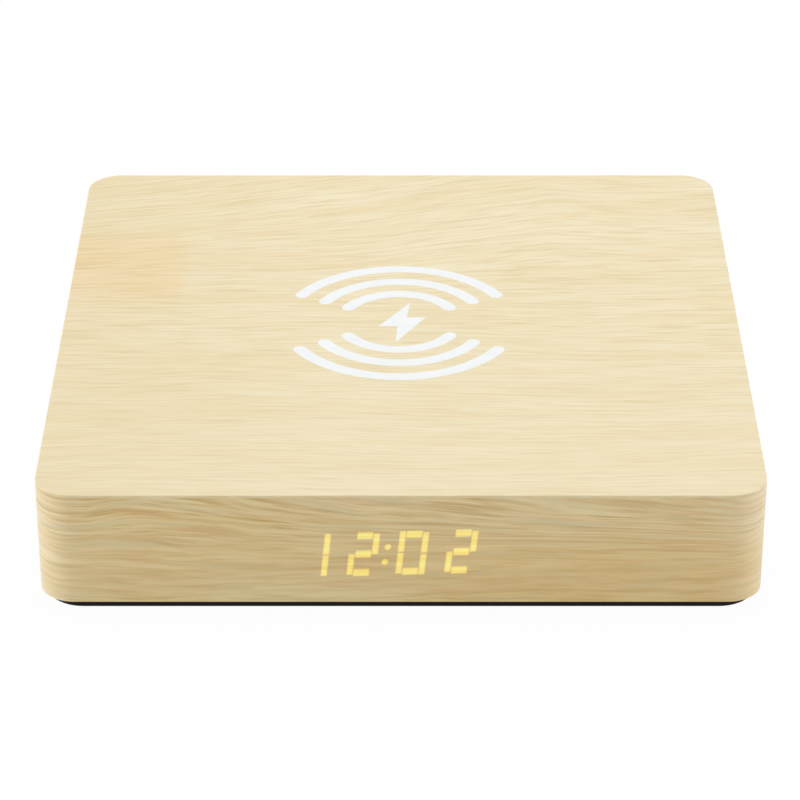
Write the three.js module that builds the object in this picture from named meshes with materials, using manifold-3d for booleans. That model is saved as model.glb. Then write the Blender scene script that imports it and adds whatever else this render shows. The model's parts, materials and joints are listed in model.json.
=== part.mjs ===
// Wireless charging alarm clock: a veneered board case with a charging coil under its top and an
// LED display behind its front veneer, closed from below by a black base on four rubber feet.
// Millimetres, +Z up, +X to the right, the display faces -Y and the floor is at height zero.
import * as THREE from "three";
import { mergeVertices } from "three/addons/utils/BufferGeometryUtils.js";
import Module from "manifold-3d";

const wasm = await Module();
wasm.setup();

// Driving dimensions of the case
const bodyWidth = 150;
const bodyDepth = 150;
const bodyHeight = 28.5;
const cornerRadius = 7.5;
const edgeBreak = 0.25;
const veneerThickness = 0.6;
const wallThickness = 5;
const deckThickness = 2.9;
const baseThickness = 1.85;
const baseInset = 1.2;
const baseCornerRadius = 8;
const footProud = 1;

// Clearances that the pieces share
const fitGap = 0.3;
const threadGap = 0.2;
const overrun = 1;

// Levels of the case, from the floor up
const baseLow = footProud;
const baseTop = baseLow + baseThickness;
const deckTop = bodyHeight - veneerThickness;
const deckLow = deckTop - deckThickness;

// The board core inside the veneer
const coreWidth = bodyWidth - 2 * veneerThickness;
const coreDepth = bodyDepth - 2 * veneerThickness;
const coreRadius = cornerRadius - veneerThickness;
const frontOuter = -coreDepth / 2;
const frontInner = frontOuter + wallThickness;
const backOuter = coreDepth / 2;
const backInner = backOuter - wallThickness;
const cornerBlock = 18;

// Charging mark, engraved in the top veneer and centred a little off the middle
const markX = -0.43;
const markY = -0.12;
const markDepth = 0.2;
const markRadii = [13.05, 19.1, 25.3];
const markStroke = 3;
const markSpan = THREE.MathUtils.degToRad(120);
const boltHeight = 18.75;
const boltShares = [
  [0.138, 0.481],
  [-0.246, -0.127],
  [-0.017, -0.124],
  [-0.041, -0.519],
  [0.322, 0.102],
  [0.092, 0.102],
];

// Display module, which sits a little out of level in its window
const displayX = -2.7;
const displayRise = 11.78;
const displayTilt = THREE.MathUtils.degToRad(1.8);
const displayWidth = 40.2;
const displayHeight = 12.8;
const displayZ = baseTop + displayRise;
const windowMargin = 1.2;
const diffuserThickness = 0.6;
const displayBoardThickness = 1.2;
const displayEar = 8;
const displayRim = 2;
const displayScrewOut = 4.6;
const digitCount = 4;
const digitPitch = 10.05;
const digitHeight = 10.16;
const columnSpacing = 4.75;
const barThickness = 1.28;
const barGap = 0.25;
const digitLean = Math.tan(THREE.MathUtils.degToRad(7.6));
const colonRadius = 0.7;
const colonRise = 1.77;
const ledLength = 1.6;
const ledWidth = 0.8;
const ledHeight = 0.6;

// Circuit board, control panel and what stands on them, along the back wall
const panelRecess = 0.4;
const panelFaceThickness = 2;
const panelWidth = 64;
const panelHeight = 13;
const panelCorner = 2;
const panelWall = 1.2;
const flangeThickness = 1.5;
const flangeReach = 6;
const flangeRise = 2.5;
const standoffHeight = 6.3;
const boardThickness = 1.6;
const boardWidth = 58;
const boardDepth = 46;
const boardGap = 0.6;
const usbWidth = 8.94;
const usbHeight = 3.2;
const usbLength = 7.35;
const usbX = -20;
const panelOuter = bodyDepth / 2 - panelRecess;
const panelInner = panelOuter - panelFaceThickness;
const boardLow = baseTop + standoffHeight;
const boardTop = boardLow + boardThickness;
const boardBack = panelInner - boardGap;
const boardFront = boardBack - boardDepth;
const portZ = boardTop + usbHeight / 2;

// Push buttons, with what lies between a cap and its switch
const buttonNames = ["set", "up", "down"];
const buttonX = 0;
const buttonPitch = 10;
const buttonRadius = 3;
const buttonProud = 0.3;
const buttonTravel = 0.5;
const capLength = 2.1;
const stemRadius = 1.2;
const stemLength = 0.9;
const earReach = 1.2;
const earThickness = 0.9;
const earHeight = 2;
const plungerProud = 1;
const plungerSunk = 0.9;
const switchWidth = 6;
const switchDepth = 3.6;
const switchHeight = 3.4;
const buttonFace = panelOuter + buttonProud;
const earBack = panelInner - fitGap - earThickness;
const stemEnd = earBack - stemLength;
const switchFace = stemEnd - plungerProud;

// Back-up cell, its well in the base and the twist-lock cap
const cellX = 14;
const cellBehind = 28;
const cellRadius = 10;
const cellHeight = 3.2;
const cellClearance = 0.4;
const tabReach = 0.7;
const tabThickness = 0.7;
const tabSpan = THREE.MathUtils.degToRad(30);
const tabPlay = THREE.MathUtils.degToRad(3);
const capTurn = THREE.MathUtils.degToRad(40);
const capLip = 0.6;
const capDiscThickness = 1.2;
const capPlay = 0.15;
const ledgeThickness = 0.6;
const bossRise = 0.35;
const wellWall = 1.2;
const wellTopGap = 0.8;
const cellY = boardBack - cellBehind;
const wellRadius = cellRadius + cellClearance;
const tabRadius = wellRadius + tabReach;
const grooveRadius = tabRadius + fitGap;
const capRadius = grooveRadius + capLip;
const wellOuter = capRadius + fitGap + wellWall;
const ledgeLow = baseLow + capDiscThickness + capPlay;
const ledgeTop = ledgeLow + ledgeThickness;
const tabLow = ledgeTop + capPlay;
const tabTop = tabLow + tabThickness;
const bossTop = tabTop + bossRise;
const cellLow = bossTop + fitGap;
const cellTop = cellLow + cellHeight;
const contactThickness = 0.25;
const contactWidth = 4;
const contactSlot = 0.9;

// Feet and screws
const footRadius = 6;
const footInset = 20;
const footSeat = 0.7;
const baseScrewInset = 12;
const baseScrew = { head: 2.2, headHeight: 1.1, shank: 1.1, length: 9 };
const boardScrew = { head: 2.1, headHeight: 1, shank: 1, length: 5 };
const wallScrew = { head: 1.9, headHeight: 1, shank: 0.9, length: 4.4 };
const screwHeadShares = { top: 0.8, arm: 0.55, slot: 0.14, recess: 0.6 };
const screwSunk = 0.1;
const panelScrewOut = 3.6;
const boardScrewInset = 3.2;
const boardScrewBehind = 10;
const boardScrewAhead = 4.5;
const standoffRadius = 2.6;

// Charging coil, the ferrite under it and the pocket in the top panel
const coilTurns = 10;
const coilInner = 10.625;
const coilPitch = 1.13;
const coilWireWidth = 0.7;
const coilWireHeight = 0.8;
const tapeThickness = 0.2;
const ferriteThickness = 1;
const ferriteMargin = 1.6;
const ferriteSlot = 4;
const leadAsideShare = 0.25;
const pocketDepth = 1.4;
const pocketMargin = 1.4;
const leadRadius = 0.45;
const coilOuter = coilInner + coilTurns * coilPitch;
const ferriteRadius = coilOuter + coilWireWidth / 2 + ferriteMargin;
const pocketRadius = ferriteRadius + pocketMargin;
const pocketRoof = deckLow + pocketDepth;
const coilTop = pocketRoof - tapeThickness;
const coilLow = coilTop - coilWireHeight;
const ferriteLow = coilLow - ferriteThickness;

// Ribbon cable between the display and the circuit board
const ribbonWidth = 10;
const ribbonThickness = 0.3;
const ribbonReach = 5;
const ribbonBend = 2;
const connectorWidth = 14;
const connectorDepth = 4;
const connectorHeight = 2.2;
const connectorInset = 1;

// Facet counts: three.js gives an arc twice the steps that it is told
const cornerSteps = 4;
const baseCornerSteps = 8;
const arcSteps = 5;
const endSteps = 3;
const portSteps = 3;
const slotSteps = 2;
const wideSides = 48;
const roundSides = 32;
const smallSides = 10;
const coilSteps = 16;
const leadSteps = 18;
const bendSteps = 3;

// Surface looks
function look(color, roughness, metalness = 0) {
  return new THREE.MeshStandardMaterial({ color, roughness, metalness });
}
const looks = {
  topVeneer: look(0xf0e2bf, 0.55),
  sideVeneer: look(0xd8c397, 0.55),
  coreBoard: look(0xb08d5f, 0.9),
  blackPlastic: look(0x1a191b, 0.6),
  rubber: look(0x202022, 0.9),
  steel: look(0xb9bbbd, 0.35, 1),
  circuitBoard: look(0x1f5b3a, 0.5),
  chipPlastic: look(0x26262a, 0.5),
  whitePlastic: look(0xe8e6df, 0.5),
  diffuser: look(0xf4eeda, 0.4),
  copper: look(0xb8703a, 0.35, 1),
  ferrite: look(0x3a3a3e, 0.6),
  tape: look(0xe6e4dc, 0.8),
  ceramic: look(0xa98e6a, 0.5),
};

// A closed geometry as a solid, with the vertices that its faces share merged.
function solid(geometry) {
  const bare = geometry.clone();
  bare.deleteAttribute("normal");
  bare.deleteAttribute("uv");
  const merged = mergeVertices(bare);
  return new wasm.Manifold(
    new wasm.Mesh({
      numProp: 3,
      vertProperties: merged.attributes.position.array,
      triVerts: new Uint32Array(merged.index.array),
    }),
  );
}

// Closed geometries joined into one, less the ones that are cut away.
function formed(joined, cut = []) {
  const whole = joined.map(solid).reduce((sum, part) => sum.add(part));
  const left = cut.map(solid).reduce((sum, part) => sum.subtract(part), whole);
  const mesh = left.getMesh();
  const geometry = new THREE.BufferGeometry();
  geometry.setAttribute("position", new THREE.BufferAttribute(mesh.vertProperties, 3));
  geometry.setIndex(new THREE.BufferAttribute(mesh.triVerts, 1));
  geometry.computeVertexNormals();
  return geometry;
}

function piece(name, geometry, material) {
  const mesh = new THREE.Mesh(geometry, material);
  mesh.name = name;
  return mesh;
}

function block(low, high) {
  const sizes = high.map((value, i) => value - low[i]);
  const middle = high.map((value, i) => (value + low[i]) / 2);
  return new THREE.BoxGeometry(...sizes).translate(...middle);
}

function roundedRectangle(width, height, radius, x = 0, y = 0) {
  const shape = new THREE.Shape();
  const across = width / 2 - radius;
  const up = height / 2 - radius;
  const quarter = Math.PI / 2;
  shape.absarc(x + across, y - up, radius, -quarter, 0);
  shape.absarc(x + across, y + up, radius, 0, quarter);
  shape.absarc(x - across, y + up, radius, quarter, 2 * quarter);
  shape.absarc(x - across, y - up, radius, 2 * quarter, 3 * quarter);
  return shape;
}

function polygon(points) {
  return new THREE.Shape(points.map(([x, y]) => new THREE.Vector2(x, y)));
}

// A flat outline raised from one height to another.
function slab(shape, low, high, curveSegments = cornerSteps) {
  const depth = high - low;
  return new THREE.ExtrudeGeometry(shape, { depth, bevelEnabled: false, curveSegments }).translate(
    0,
    0,
    low,
  );
}

// An outline drawn in X and Z, thickened along Y.
function plateAlongY(shape, front, back, curveSegments = cornerSteps) {
  return slab(shape, -back, -front, curveSegments).rotateX(Math.PI / 2);
}

// An outline drawn in Y and Z, thickened along X.
function plateAlongX(shape, left, right) {
  const turn = new THREE.Matrix4().makeBasis(
    new THREE.Vector3(0, 1, 0),
    new THREE.Vector3(0, 0, 1),
    new THREE.Vector3(1, 0, 0),
  );
  return slab(shape, left, right).applyMatrix4(turn);
}

function post(x, y, radius, low, high, sides = smallSides) {
  return new THREE.CylinderGeometry(radius, radius, high - low, sides)
    .rotateX(Math.PI / 2)
    .translate(x, y, (low + high) / 2);
}

function rodAlongY(x, z, radius, front, back, sides = smallSides) {
  return new THREE.CylinderGeometry(radius, radius, back - front, sides).translate(
    x,
    (front + back) / 2,
    z,
  );
}

// A profile of radius and height, from the axis out, up and back in, turned about Z.
function turned(profile, sides = roundSides) {
  const points = profile.map(([radius, height]) => new THREE.Vector2(radius, height));
  return new THREE.LatheGeometry(points, sides).rotateX(Math.PI / 2);
}

// A slice of a disc, in the plane of the floor.
function wedge(radius, middle, span) {
  const from = middle - span / 2;
  const shape = new THREE.Shape();
  shape.moveTo(0, 0);
  shape.lineTo(radius * Math.cos(from), radius * Math.sin(from));
  shape.absarc(0, 0, radius, from, from + span);
  return shape;
}

// The line through corner points, with each inner corner rounded off.
function bentLine(corners, radius) {
  const points = corners.map(([x, y]) => new THREE.Vector2(x, y));
  const line = [points[0]];
  for (let i = 1; i < points.length - 1; i += 1) {
    const corner = points[i];
    const from = points[i - 1].clone().sub(corner).setLength(radius).add(corner);
    const to = points[i + 1].clone().sub(corner).setLength(radius).add(corner);
    line.push(...new THREE.QuadraticBezierCurve(from, corner, to).getPoints(bendSteps));
  }
  line.push(points.at(-1));
  return line;
}

// The outline of a thin strip whose middle follows a line.
function stripOutline(line, thickness) {
  const sides = line.map((point, i) => {
    const before = line[Math.max(i - 1, 0)];
    const after = line[Math.min(i + 1, line.length - 1)];
    const along = after.clone().sub(before).normalize();
    const aside = new THREE.Vector2(-along.y, along.x).multiplyScalar(thickness / 2);
    return [point.clone().sub(aside), point.clone().add(aside)];
  });
  const right = sides.map(([side]) => side);
  const left = sides.map(([, side]) => side).reverse();
  return new THREE.Shape([...right, ...left]);
}

// A pan-head screw with a cross recess: its head's seat is at zero and it points up.
function screw(name, { head, headHeight, shank, length }) {
  const tip = shank;
  const recess = headHeight * screwHeadShares.recess;
  const arm = head * screwHeadShares.arm;
  const slot = head * screwHeadShares.slot;
  const body = turned(
    [
      [0, -headHeight],
      [head * screwHeadShares.top, -headHeight],
      [head, 0],
      [shank, 0],
      [shank, length - tip],
      [0, length],
    ],
    smallSides,
  );
  const cross = [
    block([-arm, -slot, -headHeight - overrun], [arm, slot, recess - headHeight]),
    block([-slot, -arm, -headHeight - overrun], [slot, arm, recess - headHeight]),
  ];
  return piece(name, formed([body], cross), looks.steel);
}

function fourCorners(x, y) {
  return [
    [-x, -y],
    [x, -y],
    [x, y],
    [-x, y],
  ];
}

const baseScrewPlaces = fourCorners(bodyWidth / 2 - baseScrewInset, bodyDepth / 2 - baseScrewInset);
const footPlaces = fourCorners(bodyWidth / 2 - footInset, bodyDepth / 2 - footInset);
const boardScrewX = boardWidth / 2 - boardScrewInset;
const boardScrewPlaces = [
  [-boardScrewX, boardFront + boardScrewAhead],
  [boardScrewX, boardFront + boardScrewAhead],
  [boardScrewX, boardBack - boardScrewBehind],
  [-boardScrewX, boardBack - boardScrewBehind],
];
const panelScrewX = panelWidth / 2 + panelScrewOut;
const displayScrewX = displayWidth / 2 + displayScrewOut;

// One arc of the charging mark, with round ends.
function markArc(radius, middle) {
  const half = markStroke / 2;
  const from = middle - markSpan / 2;
  const to = middle + markSpan / 2;
  const shape = new THREE.Shape();
  shape.absarc(0, 0, radius + half, from, to);
  shape.absarc(radius * Math.cos(to), radius * Math.sin(to), half, to, to + Math.PI);
  shape.absarc(0, 0, radius - half, to, from, true);
  shape.absarc(radius * Math.cos(from), radius * Math.sin(from), half, from + Math.PI, from + 2 * Math.PI);
  return shape;
}

function markShapes() {
  const arcs = markRadii.flatMap((radius) => [
    markArc(radius, Math.PI / 2),
    markArc(radius, -Math.PI / 2),
  ]);
  const bolt = polygon(boltShares.map(([x, y]) => [x * boltHeight, y * boltHeight]));
  return [...arcs, bolt];
}

// The sheet on top, with its edge broken and a shallow bed for the charging mark.
function topVeneer() {
  const sheet = new THREE.ExtrudeGeometry(roundedRectangle(bodyWidth, bodyDepth, cornerRadius), {
    depth: veneerThickness,
    bevelThickness: edgeBreak,
    bevelSize: edgeBreak,
    bevelOffset: -edgeBreak,
    bevelSegments: 1,
    curveSegments: cornerSteps,
  }).translate(0, 0, deckTop - edgeBreak);
  const below = block(
    [-bodyWidth, -bodyDepth, deckTop - bodyHeight],
    [bodyWidth, bodyDepth, deckTop],
  );
  const bed = slab(markShapes(), bodyHeight - markDepth, bodyHeight + overrun, arcSteps);
  return piece("top_veneer", formed([sheet], [below, bed.translate(markX, markY, 0)]), looks.topVeneer);
}

function panelWindow(front, back) {
  const shape = roundedRectangle(
    panelWidth + 2 * fitGap,
    panelHeight + 2 * fitGap,
    panelCorner + fitGap,
    0,
    portZ,
  );
  return plateAlongY(shape, front, back);
}

// The band that wraps the four sides, open only at the control panel.
function sideVeneer() {
  const outline = roundedRectangle(bodyWidth, bodyDepth, cornerRadius);
  outline.holes.push(roundedRectangle(coreWidth, coreDepth, coreRadius));
  const band = slab(outline, baseTop, deckTop);
  const window = panelWindow(backOuter - overrun, backOuter + veneerThickness + overrun);
  return piece("side_veneer", formed([band], [window]), looks.sideVeneer);
}

function topPanel() {
  const plate = slab(roundedRectangle(coreWidth, coreDepth, coreRadius), deckLow, deckTop);
  const pocket = post(0, 0, pocketRadius, deckLow - overrun, pocketRoof, wideSides);
  return piece("top_panel", formed([plate], [pocket]), looks.coreBoard);
}

// The walls under the top panel, with corner blocks for the base's screws.
function sideFrame() {
  const x = coreWidth / 2 - wallThickness;
  const y = coreDepth / 2 - wallThickness;
  const outline = roundedRectangle(coreWidth, coreDepth, coreRadius);
  outline.holes.push(
    polygon([
      [x, cornerBlock - y],
      [x, y - cornerBlock],
      [x - cornerBlock, y],
      [cornerBlock - x, y],
      [-x, y - cornerBlock],
      [-x, cornerBlock - y],
      [cornerBlock - x, -y],
      [x - cornerBlock, -y],
    ]),
  );
  const walls = slab(outline, baseTop, deckLow);
  const halfWidth = displayWidth / 2 + windowMargin;
  const halfHeight = displayHeight / 2 + windowMargin;
  const displayWindow = block(
    [displayX - halfWidth, frontOuter - overrun, displayZ - halfHeight],
    [displayX + halfWidth, frontInner + overrun, displayZ + halfHeight],
  );
  const basePilots = baseScrewPlaces.map(([px, py]) =>
    post(px, py, baseScrew.shank + threadGap, baseTop - overrun, baseTop + baseScrew.length),
  );
  const wallPilot = wallScrew.shank + threadGap;
  const displayPilots = [-displayScrewX, displayScrewX].map((out) =>
    rodAlongY(
      displayX + out * Math.cos(displayTilt),
      displayZ + out * Math.sin(displayTilt),
      wallPilot,
      frontInner - wallScrew.length,
      frontInner + overrun,
    ),
  );
  const panelPilots = [-panelScrewX, panelScrewX].map((px) =>
    rodAlongY(px, portZ, wallPilot, backInner - overrun, backInner + wallScrew.length),
  );
  const cuts = [displayWindow, panelWindow(backInner - overrun, backOuter + overrun)];
  cuts.push(...basePilots, ...displayPilots, ...panelPilots);
  return piece("side_frame", formed([walls], cuts), looks.coreBoard);
}

// Vent slots to either side of the ribbon cable, in the bottom of the case.
function ventSlots() {
  const slotLength = 16;
  const slotWidth = 1.8;
  const slotPitch = 4;
  const slotCount = 4;
  const slotOut = 34;
  const rows = [...Array(slotCount).keys()].map((i) => (i - (slotCount - 1) / 2) * slotPitch);
  const shapes = rows.flatMap((y) => [
    roundedRectangle(slotLength, slotWidth, slotWidth / 2, -slotOut, y),
    roundedRectangle(slotLength, slotWidth, slotWidth / 2, slotOut, y),
  ]);
  return slab(shapes, baseLow - overrun, baseTop + overrun, slotSteps);
}

const buzzer = { x: -14, radius: 6, height: 5.3, hole: 1.2, holeDepth: 0.8 };

// A ring of sound holes round a middle one, under the buzzer.
function soundHoles() {
  const holeRadius = 0.9;
  const ringRadius = 3.4;
  const ringCount = 6;
  const ring = [...Array(ringCount).keys()].map((i) => {
    const angle = (i / ringCount) * 2 * Math.PI;
    return [buzzer.x + ringRadius * Math.cos(angle), cellY + ringRadius * Math.sin(angle)];
  });
  return [[buzzer.x, cellY], ...ring].map(([x, y]) =>
    post(x, y, holeRadius, baseLow - overrun, baseTop + overrun),
  );
}

// What is cut from the base for the cell, its contact and the cap's bayonet.
function cellCuts() {
  const wellTop = boardLow - wellTopGap;
  const recess = post(cellX, cellY, capRadius + fitGap, baseLow - overrun, ledgeLow, wideSides);
  const bore = post(cellX, cellY, wellRadius, ledgeLow - overrun, wellTop + overrun, wideSides);
  const groove = post(cellX, cellY, grooveRadius, ledgeTop, tabTop + capPlay, wideSides);
  const entries = [0, Math.PI].map((side) =>
    slab(
      wedge(grooveRadius, side - capTurn, tabSpan + 2 * tabPlay),
      ledgeLow - overrun,
      tabLow,
    ).translate(cellX, cellY, 0),
  );
  const slotHalf = contactWidth / 2 + fitGap;
  const contactCut = block(
    [cellX - slotHalf, cellY, cellLow],
    [cellX + slotHalf, cellY + wellRadius + contactSlot, wellTop + overrun],
  );
  return [recess, bore, groove, ...entries, contactCut];
}

function basePlate() {
  const inset = 2 * baseInset;
  const outline = roundedRectangle(bodyWidth - inset, bodyDepth - inset, baseCornerRadius);
  const joined = [
    slab(outline, baseLow, baseTop, baseCornerSteps),
    post(cellX, cellY, wellOuter, baseLow, boardLow - wellTopGap, wideSides),
    ...boardScrewPlaces.map(([x, y]) => post(x, y, standoffRadius, baseLow, boardLow)),
  ];
  const counterbore = baseLow + baseScrew.headHeight + screwSunk;
  const cuts = [
    ...footPlaces.map(([x, y]) =>
      post(x, y, footRadius + fitGap, baseLow - overrun, baseLow + footSeat, roundSides),
    ),
    ...baseScrewPlaces.flatMap(([x, y]) => [
      post(x, y, baseScrew.head + fitGap, baseLow - overrun, counterbore, roundSides),
      post(x, y, baseScrew.shank + threadGap, baseLow, baseTop + overrun),
    ]),
    ...boardScrewPlaces.map(([x, y]) =>
      post(x, y, boardScrew.shank + threadGap, boardTop - boardScrew.length, boardLow + overrun),
    ),
    ...cellCuts(),
    ...soundHoles(),
    ventSlots(),
  ];
  return piece("base_plate", formed(joined, cuts), looks.blackPlastic);
}

// The cap turns by its two tabs behind the ledge, driven with a coin in its slot.
function batteryCap() {
  const slotLength = 15;
  const slotWidth = 2;
  const slotDepth = 0.8;
  const disc = post(0, 0, capRadius, baseLow, baseLow + capDiscThickness, wideSides);
  const boss = post(0, 0, wellRadius - fitGap, baseLow, bossTop, wideSides);
  const tabs = [0, Math.PI].map((side) => slab(wedge(tabRadius, side, tabSpan), tabLow, tabTop));
  const coinSlot = block(
    [-slotLength / 2, -slotWidth / 2, baseLow - overrun],
    [slotLength / 2, slotWidth / 2, baseLow + slotDepth],
  );
  const cap = piece("battery_cap", formed([disc, boss, ...tabs], [coinSlot]), looks.blackPlastic);
  cap.position.set(cellX, cellY, 0);
  return cap;
}

function rubberFeet() {
  const softEdge = 0.4;
  const foot = turned([
    [0, 0],
    [footRadius - softEdge, 0],
    [footRadius, softEdge],
    [footRadius, footProud + footSeat],
    [0, footProud + footSeat],
  ]);
  return footPlaces.map(([x, y], i) => {
    const mesh = piece(`rubber_foot_${i + 1}`, foot, looks.rubber);
    mesh.position.set(x, y, 0);
    return mesh;
  });
}

function baseScrews() {
  return baseScrewPlaces.map(([x, y], i) => {
    const mesh = screw(`base_screw_${i + 1}`, baseScrew);
    mesh.position.set(x, y, baseLow + baseScrew.headHeight + screwSunk);
    return mesh;
  });
}

// The black insert in the back wall: a face with its holes, a short collar and an inner flange.
function controlPanel() {
  const body = roundedRectangle(panelWidth, panelHeight, panelCorner, 0, portZ);
  const hollow = roundedRectangle(
    panelWidth - 2 * panelWall,
    panelHeight - 2 * panelWall,
    panelCorner - panelWall,
    0,
    portZ,
  );
  const flangeWidth = panelWidth + 2 * flangeReach;
  const flangeHeight = panelHeight + 2 * flangeRise;
  const flange = roundedRectangle(flangeWidth, flangeHeight, panelCorner, 0, portZ);
  const flangeFront = backInner - flangeThickness;
  const port = roundedRectangle(
    usbWidth + 2 * fitGap,
    usbHeight + 2 * fitGap,
    usbHeight / 2 + fitGap,
    usbX,
    portZ,
  );
  const joined = [
    plateAlongY(body, flangeFront, panelOuter),
    plateAlongY(flange, flangeFront, backInner),
  ];
  const cuts = [
    plateAlongY(hollow, flangeFront - overrun, panelInner),
    plateAlongY(port, panelInner - overrun, panelOuter + overrun, portSteps),
    ...buttonNames.map((_, i) =>
      rodAlongY(
        buttonX + i * buttonPitch,
        portZ,
        buttonRadius + fitGap,
        panelInner - overrun,
        panelOuter + overrun,
        roundSides,
      ),
    ),
    ...[-panelScrewX, panelScrewX].map((x) =>
      rodAlongY(x, portZ, wallScrew.shank + threadGap, flangeFront - overrun, backInner + overrun),
    ),
  ];
  return piece("control_panel", formed(joined, cuts), looks.blackPlastic);
}

function panelScrews() {
  return [-panelScrewX, panelScrewX].map((x, i) => {
    const mesh = screw(`panel_screw_${i + 1}`, wallScrew);
    mesh.rotation.x = -Math.PI / 2;
    mesh.position.set(x, backInner - flangeThickness, portZ);
    return mesh;
  });
}

const usbShellWall = 0.3;
const usbMouth = panelOuter - panelRecess;
const usbBack = usbMouth - usbLength;

function usbShell() {
  const innerHeight = usbHeight - 2 * usbShellWall;
  const outline = roundedRectangle(usbWidth, usbHeight, usbHeight / 2, usbX, portZ);
  const bore = roundedRectangle(
    usbWidth - 2 * usbShellWall,
    innerHeight,
    innerHeight / 2,
    usbX,
    portZ,
  );
  outline.holes.push(bore);
  const shell = plateAlongY(outline, usbBack, usbMouth, portSteps);
  return piece("usb_shell", formed([shell]), looks.steel);
}

// The plastic heart of the socket: a plug at its back and the thin tongue that holds the contacts.
function usbTongue() {
  const plugDepth = 1.5;
  const plugGap = 0.1;
  const tongueWidth = 6.7;
  const tongueThickness = 0.7;
  const tongueShort = 0.6;
  const plugHeight = usbHeight - 2 * (usbShellWall + plugGap);
  const plug = roundedRectangle(
    usbWidth - 2 * (usbShellWall + plugGap),
    plugHeight,
    plugHeight / 2,
    usbX,
    portZ,
  );
  const joined = [
    plateAlongY(plug, usbBack, usbBack + plugDepth, portSteps),
    block(
      [usbX - tongueWidth / 2, usbBack, portZ - tongueThickness / 2],
      [usbX + tongueWidth / 2, usbMouth - tongueShort, portZ + tongueThickness / 2],
    ),
  ];
  return piece("usb_tongue", formed(joined), looks.chipPlastic);
}

// A button's cap, its two retaining ears and the stem that reaches its switch.
function pushButton(name, x) {
  const ear = buttonRadius + earReach;
  const joined = [
    rodAlongY(x, portZ, buttonRadius, buttonFace - capLength, buttonFace, roundSides),
    rodAlongY(x, portZ, stemRadius, stemEnd, buttonFace - capLength / 2),
    block(
      [x - ear, earBack, portZ - earHeight / 2],
      [x + ear, earBack + earThickness, portZ + earHeight / 2],
    ),
  ];
  return piece(name, formed(joined), looks.blackPlastic);
}

function switchBody(name, x) {
  const body = block(
    [x - switchWidth / 2, switchFace - switchDepth, boardTop],
    [x + switchWidth / 2, switchFace, boardTop + switchHeight],
  );
  const bore = rodAlongY(
    x,
    portZ,
    stemRadius + threadGap,
    switchFace - plungerSunk - buttonTravel - threadGap,
    switchFace + overrun,
  );
  return piece(name, formed([body], [bore]), looks.chipPlastic);
}

function switchPlunger(name, x) {
  const rod = rodAlongY(x, portZ, stemRadius, switchFace - plungerSunk, stemEnd);
  return piece(name, formed([rod]), looks.whitePlastic);
}

function buttonPieces() {
  return buttonNames.flatMap((name, i) => {
    const x = buttonX + i * buttonPitch;
    return [
      pushButton(`${name}_button`, x),
      switchBody(`${name}_switch_body`, x),
      switchPlunger(`${name}_switch_plunger`, x),
    ];
  });
}

function mainBoard() {
  const plate = block([-boardWidth / 2, boardFront, boardLow], [boardWidth / 2, boardBack, boardTop]);
  const holes = boardScrewPlaces.map(([x, y]) =>
    post(x, y, boardScrew.shank + fitGap, boardLow - overrun, boardTop + overrun),
  );
  return piece("main_board", formed([plate], holes), looks.circuitBoard);
}

function boardScrews() {
  return boardScrewPlaces.map(([x, y], i) => {
    const mesh = screw(`board_screw_${i + 1}`, boardScrew);
    mesh.rotation.x = Math.PI;
    mesh.position.set(x, y, boardTop);
    return mesh;
  });
}

// A chip with a row of legs along its front and back.
function clockChip() {
  const chip = { x: 8, ahead: 14, width: 10, depth: 5, height: 1.9, lift: 0.2 };
  const leg = { count: 8, pitch: 1.2, width: 0.5, reach: 1.2, thickness: 0.4 };
  const y = boardBack - chip.ahead;
  const body = block(
    [chip.x - chip.width / 2, y - chip.depth / 2, boardTop + chip.lift],
    [chip.x + chip.width / 2, y + chip.depth / 2, boardTop + chip.height],
  );
  const legs = [...Array(leg.count).keys()].map((i) => {
    const x = chip.x + (i - (leg.count - 1) / 2) * leg.pitch;
    return block(
      [x - leg.width / 2, y - chip.depth / 2 - leg.reach, boardTop],
      [x + leg.width / 2, y + chip.depth / 2 + leg.reach, boardTop + leg.thickness],
    );
  });
  return piece("clock_chip", formed([body, ...legs]), looks.chipPlastic);
}

// Parts that stand on the board, each a rounded block.
function boardBlock(name, x, ahead, width, depth, height, corner, material) {
  const shape = roundedRectangle(width, depth, corner, x, boardBack - ahead);
  return piece(name, formed([slab(shape, boardTop, boardTop + height, slotSteps)]), material);
}

function boardBlocks() {
  const capacitor = { x: -20, ahead: 31, width: 5.7, depth: 5, height: 2.5, corner: 0.3 };
  const capacitorCount = 4;
  const capacitorPitch = 7;
  const charger = { x: -12, ahead: 20, side: 5, height: 0.9, corner: 0.2 };
  const inductor = { x: -20, ahead: 19, side: 7, height: 3, corner: 1.2 };
  const crystal = { x: 20, ahead: 14, width: 10.5, depth: 4.6, height: 3.5 };
  const capacitors = [...Array(capacitorCount).keys()].map((i) =>
    boardBlock(
      `resonance_capacitor_${i + 1}`,
      capacitor.x + i * capacitorPitch,
      capacitor.ahead,
      capacitor.width,
      capacitor.depth,
      capacitor.height,
      capacitor.corner,
      looks.ceramic,
    ),
  );
  return [
    ...capacitors,
    boardBlock(
      "charger_chip",
      charger.x,
      charger.ahead,
      charger.side,
      charger.side,
      charger.height,
      charger.corner,
      looks.chipPlastic,
    ),
    boardBlock(
      "power_inductor",
      inductor.x,
      inductor.ahead,
      inductor.side,
      inductor.side,
      inductor.height,
      inductor.corner,
      looks.ferrite,
    ),
    boardBlock(
      "crystal",
      crystal.x,
      crystal.ahead,
      crystal.width,
      crystal.depth,
      crystal.height,
      crystal.depth / 2,
      looks.steel,
    ),
  ];
}

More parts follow.
